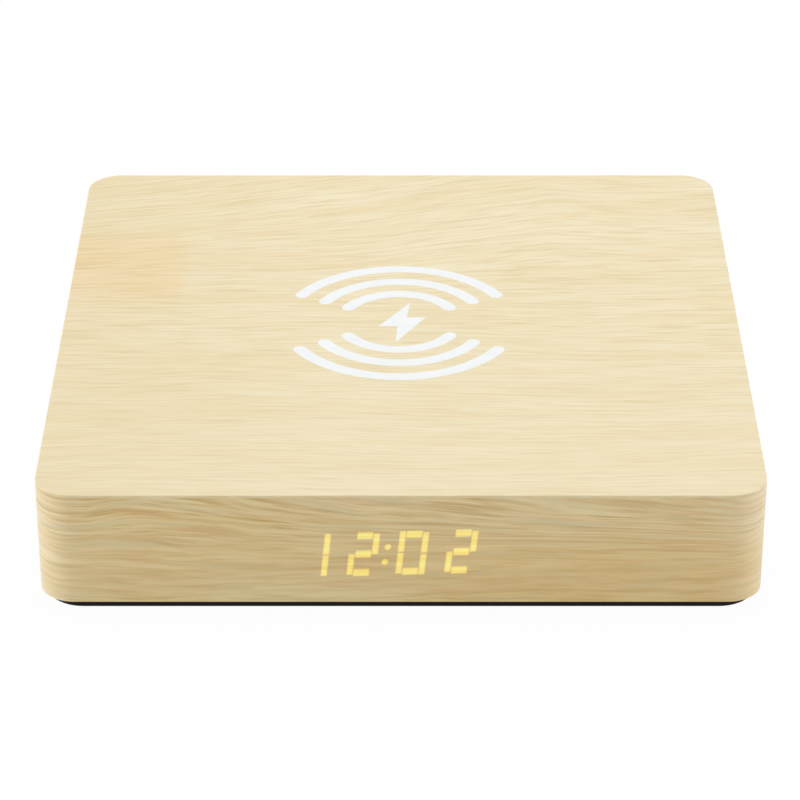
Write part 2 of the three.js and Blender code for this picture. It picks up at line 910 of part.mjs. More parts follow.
// The buzzer hangs under the board with its sound hole towards the base.
function buzzerPiece() {
  const low = boardLow - buzzer.height;
  const body = turned([
    [0, low + buzzer.holeDepth],
    [buzzer.hole, low + buzzer.holeDepth],
    [buzzer.hole, low],
    [buzzer.radius, low],
    [buzzer.radius, boardLow],
    [0, boardLow],
  ]);
  const mesh = piece("buzzer", body, looks.chipPlastic);
  mesh.position.set(buzzer.x, cellY, 0);
  return mesh;
}

function coinCell() {
  const softEdge = 0.3;
  const crimpStep = 0.5;
  const crimpRise = 0.9;
  const body = turned(
    [
      [0, cellLow],
      [cellRadius - softEdge, cellLow],
      [cellRadius, cellLow + softEdge],
      [cellRadius, cellTop - crimpRise],
      [cellRadius - crimpRise, cellTop - crimpStep],
      [cellRadius - crimpRise, cellTop],
      [0, cellTop],
    ],
    roundSides,
  );
  const mesh = piece("coin_cell", body, looks.steel);
  mesh.position.set(cellX, cellY, 0);
  return mesh;
}

// Spring strips from the board's underside to the cell's rim and to its middle.
function cellContacts() {
  const footLength = 3.5;
  const bend = 0.6;
  const armShort = 0.6;
  const half = contactThickness / 2;
  const footZ = boardLow - half;
  const rimY = cellY + cellRadius + fitGap + half;
  const rimLine = [
    [rimY, cellLow + armShort],
    [rimY, footZ],
    [rimY + footLength, footZ],
  ];
  const rim = plateAlongX(
    stripOutline(bentLine(rimLine, bend), contactThickness),
    cellX - contactWidth / 2,
    cellX + contactWidth / 2,
  );
  const dipZ = cellTop + fitGap + half;
  const leafLine = [
    [cellX - 2 * footLength, footZ],
    [cellX - footLength, footZ],
    [cellX, dipZ],
    [cellX + footLength, footZ],
    [cellX + 2 * footLength, footZ],
  ];
  const leaf = plateAlongY(
    stripOutline(bentLine(leafLine, bend), contactThickness),
    cellY - contactWidth / 2,
    cellY + contactWidth / 2,
  );
  return [
    piece("cell_contact_plus", formed([rim]), looks.steel),
    piece("cell_contact_minus", formed([leaf]), looks.steel),
  ];
}

// The bars and dots of the display: middle, width and height, before they lean.
function digitBars() {
  const column = columnSpacing / 2;
  const rise = (digitHeight - barThickness) / 2;
  const flat = columnSpacing - barThickness - 2 * barGap;
  const upright = (digitHeight - barGap) / 2;
  const uprightRise = (upright + barGap) / 2;
  const flats = [-rise, 0, rise].map((z) => ({ x: 0, z, width: flat, height: barThickness }));
  const uprights = [-column, column].flatMap((x) =>
    [-uprightRise, uprightRise].map((z) => ({ x, z, width: barThickness, height: upright })),
  );
  return [...flats, ...uprights];
}

function displayBars() {
  const places = [...Array(digitCount).keys()].map((i) => (i - (digitCount - 1) / 2) * digitPitch);
  return places.flatMap((place) => digitBars().map((bar) => ({ ...bar, x: bar.x + place })));
}

function leanedBar({ x, z, width, height }) {
  return polygon(
    fourCorners(width / 2, height / 2).map(([across, up]) => [
      x + across + (z + up) * digitLean,
      z + up,
    ]),
  );
}

// The display lies between the back of the front veneer and its own circuit board.
const diffuserFront = frontOuter + fitGap;
const reflectorFront = diffuserFront + diffuserThickness;

function displayReflector() {
  const half = [displayWidth / 2, displayHeight / 2];
  const bodyShape = polygon(fourCorners(...half));
  const body = plateAlongY(bodyShape, reflectorFront, frontInner);
  const slots = displayBars().map((bar) =>
    plateAlongY(leanedBar(bar), reflectorFront - overrun, frontInner + overrun),
  );
  const dots = [-colonRise, colonRise].map((z) =>
    rodAlongY(z * digitLean, z, colonRadius, reflectorFront - overrun, frontInner + overrun),
  );
  return piece("display_reflector", formed([body], [...slots, ...dots]), looks.whitePlastic);
}

function displayDiffuser() {
  const shape = polygon(fourCorners(displayWidth / 2, displayHeight / 2));
  const film = plateAlongY(shape, diffuserFront, reflectorFront);
  return piece("display_diffuser", formed([film]), looks.diffuser);
}

// The display's board, with one light-emitting chip behind each bar and dot.
function displayBoard() {
  const halfWidth = displayWidth / 2 + displayEar;
  const halfHeight = displayHeight / 2 + displayRim;
  const back = frontInner + displayBoardThickness;
  const plate = block([-halfWidth, frontInner, -halfHeight], [halfWidth, back, halfHeight]);
  const chips = displayBars().map(({ x, z, width, height }) => {
    const across = (width > height ? ledLength : ledWidth) / 2;
    const up = (width > height ? ledWidth : ledLength) / 2;
    const middle = x + z * digitLean;
    return block(
      [middle - across, frontInner - ledHeight, z - up],
      [middle + across, back - displayBoardThickness / 2, z + up],
    );
  });
  const dots = [-colonRise, colonRise].map((z) => {
    const half = colonRadius / 2;
    return block(
      [z * digitLean - half, frontInner - ledHeight, z - half],
      [z * digitLean + half, back - displayBoardThickness / 2, z + half],
    );
  });
  const holes = [-displayScrewX, displayScrewX].map((x) =>
    rodAlongY(x, 0, wallScrew.shank + fitGap, frontInner - overrun, back + overrun),
  );
  const made = formed([plate, ...chips, ...dots], holes);
  return piece("display_board", made, looks.circuitBoard);
}

function displayScrews() {
  return [-displayScrewX, displayScrewX].map((x, i) => {
    const mesh = screw(`display_screw_${i + 1}`, wallScrew);
    mesh.rotation.x = Math.PI / 2;
    mesh.position.set(x, frontInner + displayBoardThickness, 0);
    return mesh;
  });
}

const displayBoardBack = frontInner + displayBoardThickness;

function displayConnector() {
  const half = connectorDepth / 2;
  const body = block(
    [-connectorWidth / 2, displayBoardBack, -half],
    [connectorWidth / 2, displayBoardBack + connectorHeight, half],
  );
  return piece("display_connector", formed([body]), looks.whitePlastic);
}

function displayModule() {
  const module = new THREE.Group();
  module.add(displayReflector(), displayDiffuser(), displayBoard(), displayConnector());
  module.add(...displayScrews());
  module.position.set(displayX, 0, displayZ);
  module.rotation.y = -displayTilt;
  return module;
}

function boardConnector() {
  const body = block(
    [displayX - connectorWidth / 2, boardFront + connectorInset, boardTop],
    [
      displayX + connectorWidth / 2,
      boardFront + connectorInset + connectorDepth,
      boardTop + connectorHeight,
    ],
  );
  return piece("board_connector", formed([body]), looks.whitePlastic);
}

// The flat cable drops from the display, lies on the base and climbs to the circuit board.
function displayRibbon() {
  const start = displayBoardBack + connectorHeight + fitGap;
  const end = boardFront + connectorInset - fitGap;
  const layZ = baseTop + ribbonThickness / 2;
  const endZ = boardTop + connectorHeight / 2;
  const corners = [
    [start, displayZ],
    [start + ribbonReach, displayZ],
    [start + ribbonReach, layZ],
    [boardFront - ribbonReach, layZ],
    [boardFront - ribbonReach, endZ],
    [end, endZ],
  ];
  const strip = plateAlongX(
    stripOutline(bentLine(corners, ribbonBend), ribbonThickness),
    displayX - ribbonWidth / 2,
    displayX + ribbonWidth / 2,
  );
  return piece("display_ribbon", formed([strip]), looks.tape);
}

// A flat spiral that starts and ends on the +Y side, stepped by equal angles.
class CoilCurve extends THREE.Curve {
  getPoint(t, target = new THREE.Vector3()) {
    const angle = Math.PI / 2 + t * coilTurns * 2 * Math.PI;
    const radius = coilInner + t * coilTurns * coilPitch;
    return target.set(
      radius * Math.cos(angle),
      radius * Math.sin(angle),
      coilLow + coilWireHeight / 2,
    );
  }

  getPointAt(t, target) {
    return this.getPoint(t, target);
  }

  getTangentAt(t, target) {
    return this.getTangent(t, target);
  }
}

function chargingCoil() {
  const section = polygon(fourCorners(coilWireHeight / 2, coilWireWidth / 2));
  const wire = new THREE.ExtrudeGeometry(section, {
    steps: coilTurns * coilSteps,
    extrudePath: new CoilCurve(),
  });
  return piece("charging_coil", formed([wire]), looks.copper);
}

function coilTape() {
  const disc = post(0, 0, ferriteRadius, coilTop, pocketRoof, roundSides);
  return piece("coil_tape", formed([disc]), looks.tape);
}

// The ferrite shields the electronics, and its slot lets the inner lead out.
function ferritePlate() {
  const disc = post(0, 0, ferriteRadius, ferriteLow, coilLow, roundSides);
  const slot = block(
    [-ferriteSlot / 2, 0, ferriteLow - overrun],
    [ferriteSlot / 2, ferriteRadius + overrun, coilLow + overrun],
  );
  return piece("ferrite_plate", formed([disc], [slot]), looks.ferrite);
}

// A wire through points chosen by hand, straight at its ends.
function lead(name, points) {
  const path = new THREE.CatmullRomCurve3(points.map((point) => new THREE.Vector3(...point)));
  const section = new THREE.Shape();
  section.absarc(0, 0, leadRadius, 0, 2 * Math.PI);
  const wire = new THREE.ExtrudeGeometry(section, {
    steps: leadSteps,
    curveSegments: endSteps,
    extrudePath: path,
  });
  return piece(name, formed([wire]), looks.copper);
}

function coilLeads() {
  const padX = 9;
  const padSpacing = 3;
  const padAhead = 4;
  const slotZ = coilLow - fitGap - leadRadius;
  const aside = ferriteSlot * leadAsideShare;
  const rim = ferriteRadius + leadRadius;
  const padY = boardFront + padAhead;
  const dropY = rim + ferriteMargin;
  const inner = [
    [aside, coilInner - aside, slotZ],
    [aside, (coilInner + rim) / 2, slotZ],
    [aside, rim, slotZ],
    [aside + padSpacing, dropY, slotZ - ferriteMargin],
    [padX, padY, boardTop + standoffHeight],
    [padX, padY, boardTop + fitGap],
  ];
  const outer = [
    [-aside, coilOuter - aside, slotZ],
    [-aside, rim, slotZ],
    [-aside, dropY + leadRadius, slotZ - ferriteMargin],
    [padX - padSpacing, padY, boardTop + standoffHeight],
    [padX - padSpacing, padY, boardTop + fitGap],
  ];
  return [lead("coil_lead_inner", inner), lead("coil_lead_outer", outer)];
}

const clock = new THREE.Group();
clock.add(topVeneer(), sideVeneer(), topPanel(), sideFrame(), basePlate(), batteryCap());
clock.add(...rubberFeet(), ...baseScrews());
clock.add(controlPanel(), ...panelScrews(), usbShell(), usbTongue(), ...buttonPieces());
clock.add(mainBoard(), ...boardScrews(), clockChip(), ...boardBlocks(), buzzerPiece());
clock.add(coinCell(), ...cellContacts());
clock.add(displayModule(), boardConnector(), displayRibbon());
clock.add(chargingCoil(), coilTape(), ferritePlate(), ...coilLeads());

export default clock;
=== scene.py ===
# %% [markdown]
# # A desk clock with a charging pad, dressed on its CAD frame
# The CAD model already holds every piece at its real size. This script gives them their looks.
# It loads the imported model first, because every later cell measures or replaces one of its nodes.

# %% Load the frame
import json
from math import cos, pi, radians, sin, tan

import bmesh
import bpy
from mathutils import Matrix, Vector


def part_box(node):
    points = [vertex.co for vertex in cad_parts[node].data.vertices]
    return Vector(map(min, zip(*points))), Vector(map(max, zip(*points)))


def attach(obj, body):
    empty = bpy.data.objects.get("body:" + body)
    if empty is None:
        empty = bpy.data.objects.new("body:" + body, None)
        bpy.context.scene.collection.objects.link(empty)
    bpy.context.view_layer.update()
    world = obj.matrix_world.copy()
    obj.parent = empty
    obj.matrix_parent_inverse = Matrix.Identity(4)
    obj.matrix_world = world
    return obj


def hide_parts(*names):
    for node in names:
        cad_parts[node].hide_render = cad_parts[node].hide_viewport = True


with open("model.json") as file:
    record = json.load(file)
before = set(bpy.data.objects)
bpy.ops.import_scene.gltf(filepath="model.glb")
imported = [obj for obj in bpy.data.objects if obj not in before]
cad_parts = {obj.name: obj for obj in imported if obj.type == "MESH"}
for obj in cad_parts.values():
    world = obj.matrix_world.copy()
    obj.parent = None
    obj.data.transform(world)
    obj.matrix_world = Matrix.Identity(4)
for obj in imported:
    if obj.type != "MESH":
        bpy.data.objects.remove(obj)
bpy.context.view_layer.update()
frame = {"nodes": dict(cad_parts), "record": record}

MM = 0.001

# %% [markdown]
# ## Sizes that the pieces share
# The new pieces have to fit the CAD model to a hundredth of a millimetre, so their places are
# read from its boxes where a box tells them. What a box doesn't tell, such as the radius of the
# case's corners, is typed. Sizes are in millimetres where no other unit is named. The case is a
# 150 mm square. X runs to the right as the time is read, -Y is the side with the display, and
# +Z is up.

# %% Shared sizes
def box_in_mm(node):
    """A CAD node's lowest and highest corner, in mm to the nearest thousandth."""
    return [[round(value / MM, 3) for value in corner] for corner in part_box(node)]


def middle_in_mm(node):
    """The middle of a CAD node's box, in mm."""
    low, high = box_in_mm(node)
    return [(start + end) / 2 for start, end in zip(low, high)]


FRONT = box_in_mm("side_veneer")[0][1]
CASE_SIDE = -2 * FRONT
CORNER_RADIUS = 7.5
WOOD_LOW, SEAM_HEIGHT = (corner[2] for corner in box_in_mm("side_veneer"))
WOOD_TOP = box_in_mm("top_veneer")[1][2]
VENEER = WOOD_TOP - SEAM_HEIGHT
PANEL_FACE = box_in_mm("control_panel")[1][1]
PORT_X, _, PORT_HEIGHT = middle_in_mm("usb_shell")
BUTTON_PLACES = {name: middle_in_mm(name + "_button")[0] for name in ("set", "up", "down")}
print("wood from", WOOD_LOW, "to", WOOD_TOP, "mm, socket", PORT_HEIGHT, "mm up")
print("buttons at", BUTTON_PLACES)

# %% [markdown]
# ## Helpers for the scene
# Three jobs come up often: an object is put in the scene, a mesh that was drawn face by face is
# finished, and a helper object gives up the mesh that its modifiers made.

# %% Scene helpers
def in_scene(name, data):
    """Puts an object that holds the data in the scene."""
    made = bpy.data.objects.new(name, data)
    bpy.context.scene.collection.objects.link(made)
    return made


def drawn_mesh(bm, name):
    """Turns a bmesh into a mesh, and frees it."""
    mesh = bpy.data.meshes.new(name)
    bm.to_mesh(mesh)
    bm.free()
    return mesh


def evaluated(helper):
    """Takes the mesh that a helper shows after its modifiers, and removes the helper."""
    graph = bpy.context.evaluated_depsgraph_get()
    mesh = bpy.data.meshes.new_from_object(helper.evaluated_get(graph))
    bpy.data.objects.remove(helper)
    return mesh


print("scene helpers ready")

# %% [markdown]
# ## Camera
# The photograph looks down at about 29.5 degrees through a long lens, so the sides of the case
# hardly converge. The place and the lens were worked out from the case's four top corners, and
# the small shift puts the case as far off the middle of the picture as the photograph has it.

# %% Camera
LENS, SENSOR_WIDTH = 148.97, 36
LOOKS_DOWN = 29.506
# In metres.
CAMERA_PLACE = (0, -0.64999, 0.37616)
# In pixels of the photograph.
SHIFT, PICTURE_WIDTH = 0.93, 800

camera_data = bpy.data.cameras.new("photo_camera")
camera_data.lens = LENS
camera_data.sensor_width = SENSOR_WIDTH
camera_data.shift_x = -SHIFT / PICTURE_WIDTH
camera = in_scene("photo_camera", camera_data)
camera.location = CAMERA_PLACE
camera.rotation_euler = (radians(90 - LOOKS_DOWN), 0, 0)
bpy.context.scene.camera = camera
bpy.context.scene.view_settings.view_transform = "Standard"
print("camera at", [round(value, 3) for value in camera.location])

# %% [markdown]
# ## Helpers for materials
# Every finish is made of nodes. `linear` turns a hex colour into the linear numbers that shaders
# work with, and `add` adds a node with its settings, values and links. `new_material` starts an
# empty material, `axes_in_mm` reads a place in it, and `surfaced` ends it with its relief and
# its shader.

# %% Material helpers
def linear(hex_colour):
    """Turns an sRGB hex value such as "F0E2BF" into a linear colour with alpha."""
    shares = [int(hex_colour[i : i + 2], 16) / 255 for i in (0, 2, 4)]
    return [s / 12.92 if s <= 0.04045 else ((s + 0.055) / 1.055) ** 2.4 for s in shares] + [1]


def add(tree, kind, inputs=None, **settings):
    """Adds one node. An input is a value, a socket, or a node whose first output feeds it."""
    made = tree.nodes.new(kind)
    made.location = (180 * len(tree.nodes), 0)
    for name, value in settings.items():
        setattr(made, name, value)
    for key, value in (inputs or {}).items():
        if isinstance(value, bpy.types.Node):
            value = next(output for output in value.outputs if output.enabled)
        if isinstance(value, bpy.types.NodeSocket):
            tree.links.new(value, made.inputs[key])
        else:
            made.inputs[key].default_value = value
    return made


def new_material(name):
    """Starts an empty material and returns it with its node tree."""
    made = bpy.data.materials.new(name)
    made.use_nodes = True
    made.node_tree.nodes.clear()
    return made, made.node_tree


def axes_in_mm(tree, place):
    """Adds the three coordinates of a place, turned from metres into mm."""
    in_mm = add(tree, "ShaderNodeMapping", {"Vector": place, "Scale": (1 / MM, 1 / MM, 1 / MM)})
    return add(tree, "ShaderNodeSeparateXYZ", {0: in_mm}).outputs


def surfaced(tree, colour, height, depth, strength, constants):
    """Ends a material: its colour, its relief of a depth in mm, and its shader's constants."""
    relief = {"Strength": strength, "Distance": depth * MM, "Height": height}
    relief = add(tree, "ShaderNodeBump", relief)
    shader = {"Base Color": colour, "Normal": relief, **constants}
    shader = add(tree, "ShaderNodeBsdfPrincipled", shader)
    add(tree, "ShaderNodeOutputMaterial", {"Surface": shader})


print("white is", linear("FFFFFF"))

# %% [markdown]
# ## Wood grain
# The case is clad in ash veneer: a thin sliced sheet with a satin, nearly matt finish. Sliced
# wood shows its growth as long streaks, a millimetre or two apart, that lie on broader soft
# bands. Noise that is drawn out along the grain gives such streaks at any size, and lets their
# flow be bent by a rule. `streaks` draws it from the length and width of one streak, and
# `wandering` bends the lines. `tinted` leans a colour to a hue where a value passes two limits,
# and `toned` does so in soft areas.

# %% Streaks and tones
def streaks(tree, along, across, layer, length, width, detail=2.0):
    """Adds noise drawn out along the grain, from 0 to 1 and mostly near 0.5."""
    place = add(tree, "ShaderNodeCombineXYZ", {"X": along, "Y": across, "Z": layer})
    sized = add(tree, "ShaderNodeMapping", {"Vector": place, "Scale": (1 / length, 1 / width, 1)})
    noise = {"Vector": sized, "Scale": 1, "Detail": detail, "Roughness": 0.55}
    return add(tree, "ShaderNodeTexNoise", noise)


def wandering(tree, along, up, across, bends):
    """Bends the lines. A bend is a layer of slow noise, its length and width, and its swing."""
    for layer, length, width, swing in bends:
        bend = {0: streaks(tree, along, up, layer, length, width, 1.0), 1: swing, 2: across}
        across = add(tree, "ShaderNodeMath", bend, operation="MULTIPLY_ADD")
    return across


def tinted(tree, colour, value, start, full, hue, most, blend="MIX"):
    """Leans a colour to a hue where a value passes from start to full, by a share at most."""
    limits = {"Value": value, "From Min": start, "From Max": full, "To Max": most}
    share = add(tree, "ShaderNodeMapRange", limits)
    mix = {"Factor": share, "A": colour, "B": linear(hue)}
    return add(tree, "ShaderNodeMix", mix, data_type="RGBA", blend_type=blend)


def soft_area(tree, edges):
    """Adds an area that is 1 inside and 0 outside. Each edge fades in between two places."""
    inside = 1.0
    for socket, outside, within in edges:
        limits = {"Value": socket, "From Min": outside, "From Max": within}
        share = add(tree, "ShaderNodeMapRange", limits, interpolation_type="SMOOTHSTEP")
        inside = add(tree, "ShaderNodeMath", {0: share, 1: inside}, operation="MULTIPLY")
    return inside


def toned(tree, colour, tones):
    """Leans a colour to other hues in soft areas, each by a share at most."""
    for edges, hue, most, blend in tones:
        colour = tinted(tree, colour, soft_area(tree, edges), 0, 1, hue, most, blend)
    return colour


print("streaks and tones ready")

# %% [markdown]
# `grain` stacks bands, lines and fine fibres into a colour and a height, and lets a few streaks
# lean to another hue. Each kind of streak has its own layer of the noise, so that none follows
# another. A look gives the first layer, the widths of bands and lines, a line's reach, how much
# of the height is fine fibre, how strong dark and light lines are, and the hues of the few
# streaks, each with its share and its width in lines.

# %% Grain
LINE_LAYER, FIBRE_LAYER, HUE_LAYER, NEXT_HUE = 3, 7, 11, 5
# Lengths as shares of a line's reach, and a fibre's width as a share of a line's.
BAND_REACH, FIBRE_REACH, FIBRE_WIDTH = 3, 0.5, 0.45
# The levels of the noise, mostly 0.34 to 0.66, at which each tint starts and is full.
SHADE_LEVELS, DARK_LEVELS = (0.62, 0.36), (0.52, 0.34)
LIGHT_LEVELS, HUE_LEVELS = (0.5, 0.66), (0.54, 0.7)


def grain(tree, along, across, look):
    """Adds wood whose fibres run along the first direction: its colour and its height."""
    layer, reach, line = look["layer"], look["reach"], look["line"]
    bands = streaks(tree, along, across, layer, BAND_REACH * reach, look["band"])
    lines = streaks(tree, along, across, layer + LINE_LAYER, reach, line)
    fibres = streaks(tree, along, across, layer + FIBRE_LAYER, reach * FIBRE_REACH, line * FIBRE_WIDTH)
    broad = add(tree, "ShaderNodeMath", {0: lines, 1: 1 - look["fine"]}, operation="MULTIPLY")
    height = {0: fibres, 1: look["fine"], 2: broad}
    height = add(tree, "ShaderNodeMath", height, operation="MULTIPLY_ADD")
    colour = tinted(tree, linear(look["base"]), bands, *SHADE_LEVELS, look["shade"], 1)
    colour = tinted(tree, colour, height, *DARK_LEVELS, look["dark"], look["depth"])
    colour = tinted(tree, colour, height, *LIGHT_LEVELS, look["light"], look["shine"])
    for step, (hue, most, wide) in enumerate(look["hues"]):
        hue_layer = layer + HUE_LAYER + NEXT_HUE * step
        few = streaks(tree, along, across, hue_layer, reach, wide * line)
        colour = tinted(tree, colour, few, *HUE_LEVELS, hue, most)
    return colour, height


print("grain ready")

# %% [markdown]
# ## Floor
# A product picture like this is taken on white paper. The floor here is a plain pale sheet that
# keeps the clock's shadow. A large share of it shows as pure white to the camera and to
# reflections, so the background is white without extra light on the wood. Its underside is
# clear, so the clock's own underside can be looked at.

# %% Floor
WHITE = {"Color": (1, 1, 1, 1), "Strength": 1}
WHITE_SHARE = 0.97
# In metres. The floor lies just under the feet, so that the two never share a plane.
FLOOR_HALF_SIDE, FLOOR_SUNK = 3, 0.00005
CLOUDS_PER_METRE = 900


def white_to_the_camera(tree, plain, white, share):
    """Mixes a share of plain white light into what the camera, gloss and glass see."""
    path = add(tree, "ShaderNodeLightPath").outputs
    seen = path["Is Camera Ray"]
    for other in ("Is Glossy Ray", "Is Transmission Ray"):
        seen = add(tree, "ShaderNodeMath", {0: seen, 1: path[other]}, operation="MAXIMUM")
    seen = add(tree, "ShaderNodeMath", {0: seen, 1: share}, operation="MULTIPLY")
    return add(tree, "ShaderNodeMixShader", {0: seen, 1: plain, 2: white})


# Uncoated paper: matt and even, with faint clouds of fibre about a millimetre wide.
floor_paper, paper = new_material("Matt white paper floor")
fibres = add(paper, "ShaderNodeTexNoise", {"Scale": CLOUDS_PER_METRE, "Detail": 2})
pale = {"Factor": fibres, "A": linear("F6F6F4"), "B": linear("FBFBFA")}
pale = add(paper, "ShaderNodeMix", pale, data_type="RGBA")
matt = add(paper, "ShaderNodeBsdfDiffuse", {"Color": pale})
white = add(paper, "ShaderNodeEmission", WHITE)
shown = white_to_the_camera(paper, matt, white, WHITE_SHARE)
underneath = add(paper, "ShaderNodeNewGeometry").outputs["Backfacing"]
clear = add(paper, "ShaderNodeBsdfTransparent")
one_sided = add(paper, "ShaderNodeMixShader", {0: underneath, 1: shown, 2: clear})
add(paper, "ShaderNodeOutputMaterial", {"Surface": one_sided})

bm = bmesh.new()
bmesh.ops.create_grid(bm, x_segments=4, y_segments=4, size=FLOOR_HALF_SIDE)
floor_mesh = drawn_mesh(bm, "floor")
floor_mesh.transform(Matrix.Translation((0, 0, -FLOOR_SUNK)))
floor_mesh.materials.append(floor_paper)
floor = in_scene("floor", floor_mesh)
print("floor spans", floor.dimensions.x, "m")

# %% [markdown]
# ## World and lamps
# Large soft lamps light the clock: one overhead and a little behind, and one beyond each side,
# so the corners shine a little and the display's side stays calmer. They stay at a plain level,
# at which a white top face renders as white, because the wood should look right under any light.
# The side lamps don't show in gloss, where they would be two hot spots.

# %% World and lamps
ROOM_LEVEL = 0.4
# Each lamp's place and side in metres, and its power in watts.
LAMPS = {
    "overhead_softbox": ((0.0, 0.35, 1.25), 1.3, 9.2),
    "left_softbox": ((-1.3, -0.3, 0.36), 0.7, 7.9),
    "right_softbox": ((1.3, -0.3, 0.36), 0.7, 5.7),
}

world = bpy.data.worlds.new("studio")
bpy.context.scene.world = world
world.use_nodes = True
sky = world.node_tree
sky.nodes.clear()
soft = add(sky, "ShaderNodeBackground", {**WHITE, "Strength": ROOM_LEVEL})
white = add(sky, "ShaderNodeBackground", WHITE)
add(sky, "ShaderNodeOutputWorld", {"Surface": white_to_the_camera(sky, soft, white, 1.0)})

for name, (place, side, power) in LAMPS.items():
    lamp_data = bpy.data.lights.new(name, "AREA")
    lamp_data.size = side
    lamp_data.energy = power
    lamp = in_scene(name, lamp_data)
    lamp.location = place
    lamp.rotation_euler = (-Vector(place)).to_track_quat("-Z", "Y").to_euler()
    lamp.visible_glossy = name == "overhead_softbox"
print("lamps:", ", ".join(LAMPS))

# %% [markdown]
# ## Veneer on the top
# The top sheet is pale cream with fine, low lines, sliced and then sanded. Its grain drifts up
# to the right near the back edge and wanders a little everywhere, and a faint warmer patch lies
# near the left edge. The place of each point is bent before it reaches the streaks, so the lines
# flow and never repeat.

# %% Top sheet's finish
TOP_LOOK = {
    "layer": 2, "band": 7, "line": 1.0, "reach": 22, "fine": 0.55, "depth": 0.66, "shine": 0.38,
    "shade": "F0E0B8", "base": "F3E6C3", "dark": "DDC997", "light": "FAF1D8",
    "hues": [("F3DDB2", 0.4, 3.0)],
}
TOP_BENDS = [(11, 16, 20, 1.1), (17, 70, 50, 6)]
# The lines drift by this much between two places along X, in full only beyond the second Y.
DRIFT, DRIFT_X, DRIFT_Y = -26, (-85, 35), (-5, 75)

# Sliced ash, sanded and thinly sealed: a soft sheen, broken by shallow pores.
top_ash, tree = new_material("Ash veneer, satin, top")
x, y, _ = axes_in_mm(tree, add(tree, "ShaderNodeTexCoord").outputs["Object"])
drift = {"Value": x, "From Min": DRIFT_X[0], "From Max": DRIFT_X[1], "To Max": DRIFT}
drift = add(tree, "ShaderNodeMapRange", drift)
drift = {0: drift, 1: soft_area(tree, [(y, *DRIFT_Y)]), 2: y}
across = add(tree, "ShaderNodeMath", drift, operation="MULTIPLY_ADD")
across = wandering(tree, x, y, across, TOP_BENDS)
colour, height = grain(tree, x, across, TOP_LOOK)
# A little deeper in tone towards the front, greyer towards the left, and warm in one patch.
colour = tinted(tree, colour, y, 0, -60, "F2E4C0", 0.3)
colour = tinted(tree, colour, x, -15, -70, "FBF9F6", 1, "MULTIPLY")
colour = toned(tree, colour, [([(x, -46, -53), (y, 46, 39), (y, 2, 21)], "FFF8EF", 1, "MULTIPLY")])
surfaced(tree, colour, height, 0.1, 0.2, {"Roughness": 0.5, "Specular IOR Level": 0.25})
print("made", top_ash.name)

# %% [markdown]
# ## Veneer on the sides
# The side band is tanner than the top and more strongly streaked, in straw, grey-green and
# reddish lines. On the display's side its upper lines climb to a peak near the left end and then
# sink to the right, as a flat-sawn sheet shows, while the lower lines stay straight and faint.
# Between the corners the front is a little darker with painted shade, and the corners and the other sides
# are painted paler, a painted sheen as if the light fell on them more strongly. Soft areas also shift the
# tone of its quarters slightly. The grain follows an attribute that each point of the band carries, so it
# runs round the corners as the real sheet does.

# %% Side band's finish
# These colours are paler than the front shows them. The corners and the other sides keep them as a
# painted sheen, and the front is darkened back with painted shade at the end of side_grain.
SIDE_LOOK = {
    "layer": 5, "band": 4.5, "line": 1.5, "reach": 22, "fine": 0.42, "depth": 0.88, "shine": 0.55,
    "shade": "E1C99D", "base": "ECDAAF", "dark": "C3A66F", "light": "F3EAD6",
    "hues": [("DDAD78", 0.5, 1.3), ("DAD4B9", 0.6, 1.8)],
}
SIDE_BENDS = [(23, 60, 16, 4), (29, 13, 6, 1.3)]
# The peak's place and roundness, and the ends beyond which the lines sink no further.
PEAK_PLACE, PEAK_WIDTH, SINK_ENDS = -53, 6, (-64, 80)
# They sink by a logarithm of the distance from the peak, steeply at first.
SINK_LENGTH, SINK_BASE = 100, 1.048
# They are straight below the first height and follow the peak in full above the second.
UPPER_PART = (12, 25)


def sunk_lines(tree, along):
    """Adds how far the upper lines have sunk below the peak, at each place along the front."""
    ends = {"Value": along, "Min": SINK_ENDS[0], "Max": SINK_ENDS[1]}
    held = add(tree, "ShaderNodeClamp", ends)
    out = add(tree, "ShaderNodeMath", {0: held, 1: PEAK_PLACE}, operation="SUBTRACT")
    out = add(tree, "ShaderNodeMath", {0: out, 1: out, 2: PEAK_WIDTH**2}, operation="MULTIPLY_ADD")
    out = add(tree, "ShaderNodeMath", {0: out}, operation="SQRT")
    out = add(tree, "ShaderNodeMath", {0: out, 1: 1 / SINK_LENGTH, 2: 1}, operation="MULTIPLY_ADD")
    return add(tree, "ShaderNodeMath", {0: out, 1: SINK_BASE}, operation="LOGARITHM")


def side_grain(tree):
    """Adds the side band's grain, read from the place that each point had in the flat sheet."""
    flat = add(tree, "ShaderNodeAttribute", attribute_name="grain").outputs["Vector"]
    along, _, up = axes_in_mm(tree, flat)
    from_middle = add(tree, "ShaderNodeMath", {0: along}, operation="ABSOLUTE")
    upper = soft_area(tree, [(up, *UPPER_PART)])
    bent = {0: sunk_lines(tree, along), 1: upper, 2: up}
    across = add(tree, "ShaderNodeMath", bent, operation="MULTIPLY_ADD")
    across = wandering(tree, along, up, across, SIDE_BENDS)
    colour, height = grain(tree, along, across, SIDE_LOOK)
    colour = tinted(tree, colour, upper, 1, 0, "E8D6AC", 0.4)
    tones = [
        # Low on the right, high on the right, high on the left, low on the left, and the corners, whose
        # paler tone is painted sheen.
        ([(along, -75, 50), (upper, 1, 0)], "FEF9F0", 1, "MULTIPLY"),
        ([(along, -50, 0), (upper, 0, 1)], "F3EAD6", 0.14, "MIX"),
        ([(along, -80, -45), (along, 6, -10), (up, 19, 22), (up, 26, 23)], "FBF7EE", 0.9, "MULTIPLY"),
        ([(along, -50, -28), (along, 10, -4), (up, 13, 4)], "6B6F68", 0.95, "SCREEN"),
        ([(from_middle, 66, 73), (from_middle, 92, 80)], "F8E7BC", 0.13, "MIX"),
    ]
    colour = toned(tree, colour, tones)
    # Painted shade: between the corners the front is a little darker than the corners and the other
    # sides.
    return tinted(tree, colour, from_middle, 75, 64, "F9F3DF", 1, "MULTIPLY"), height
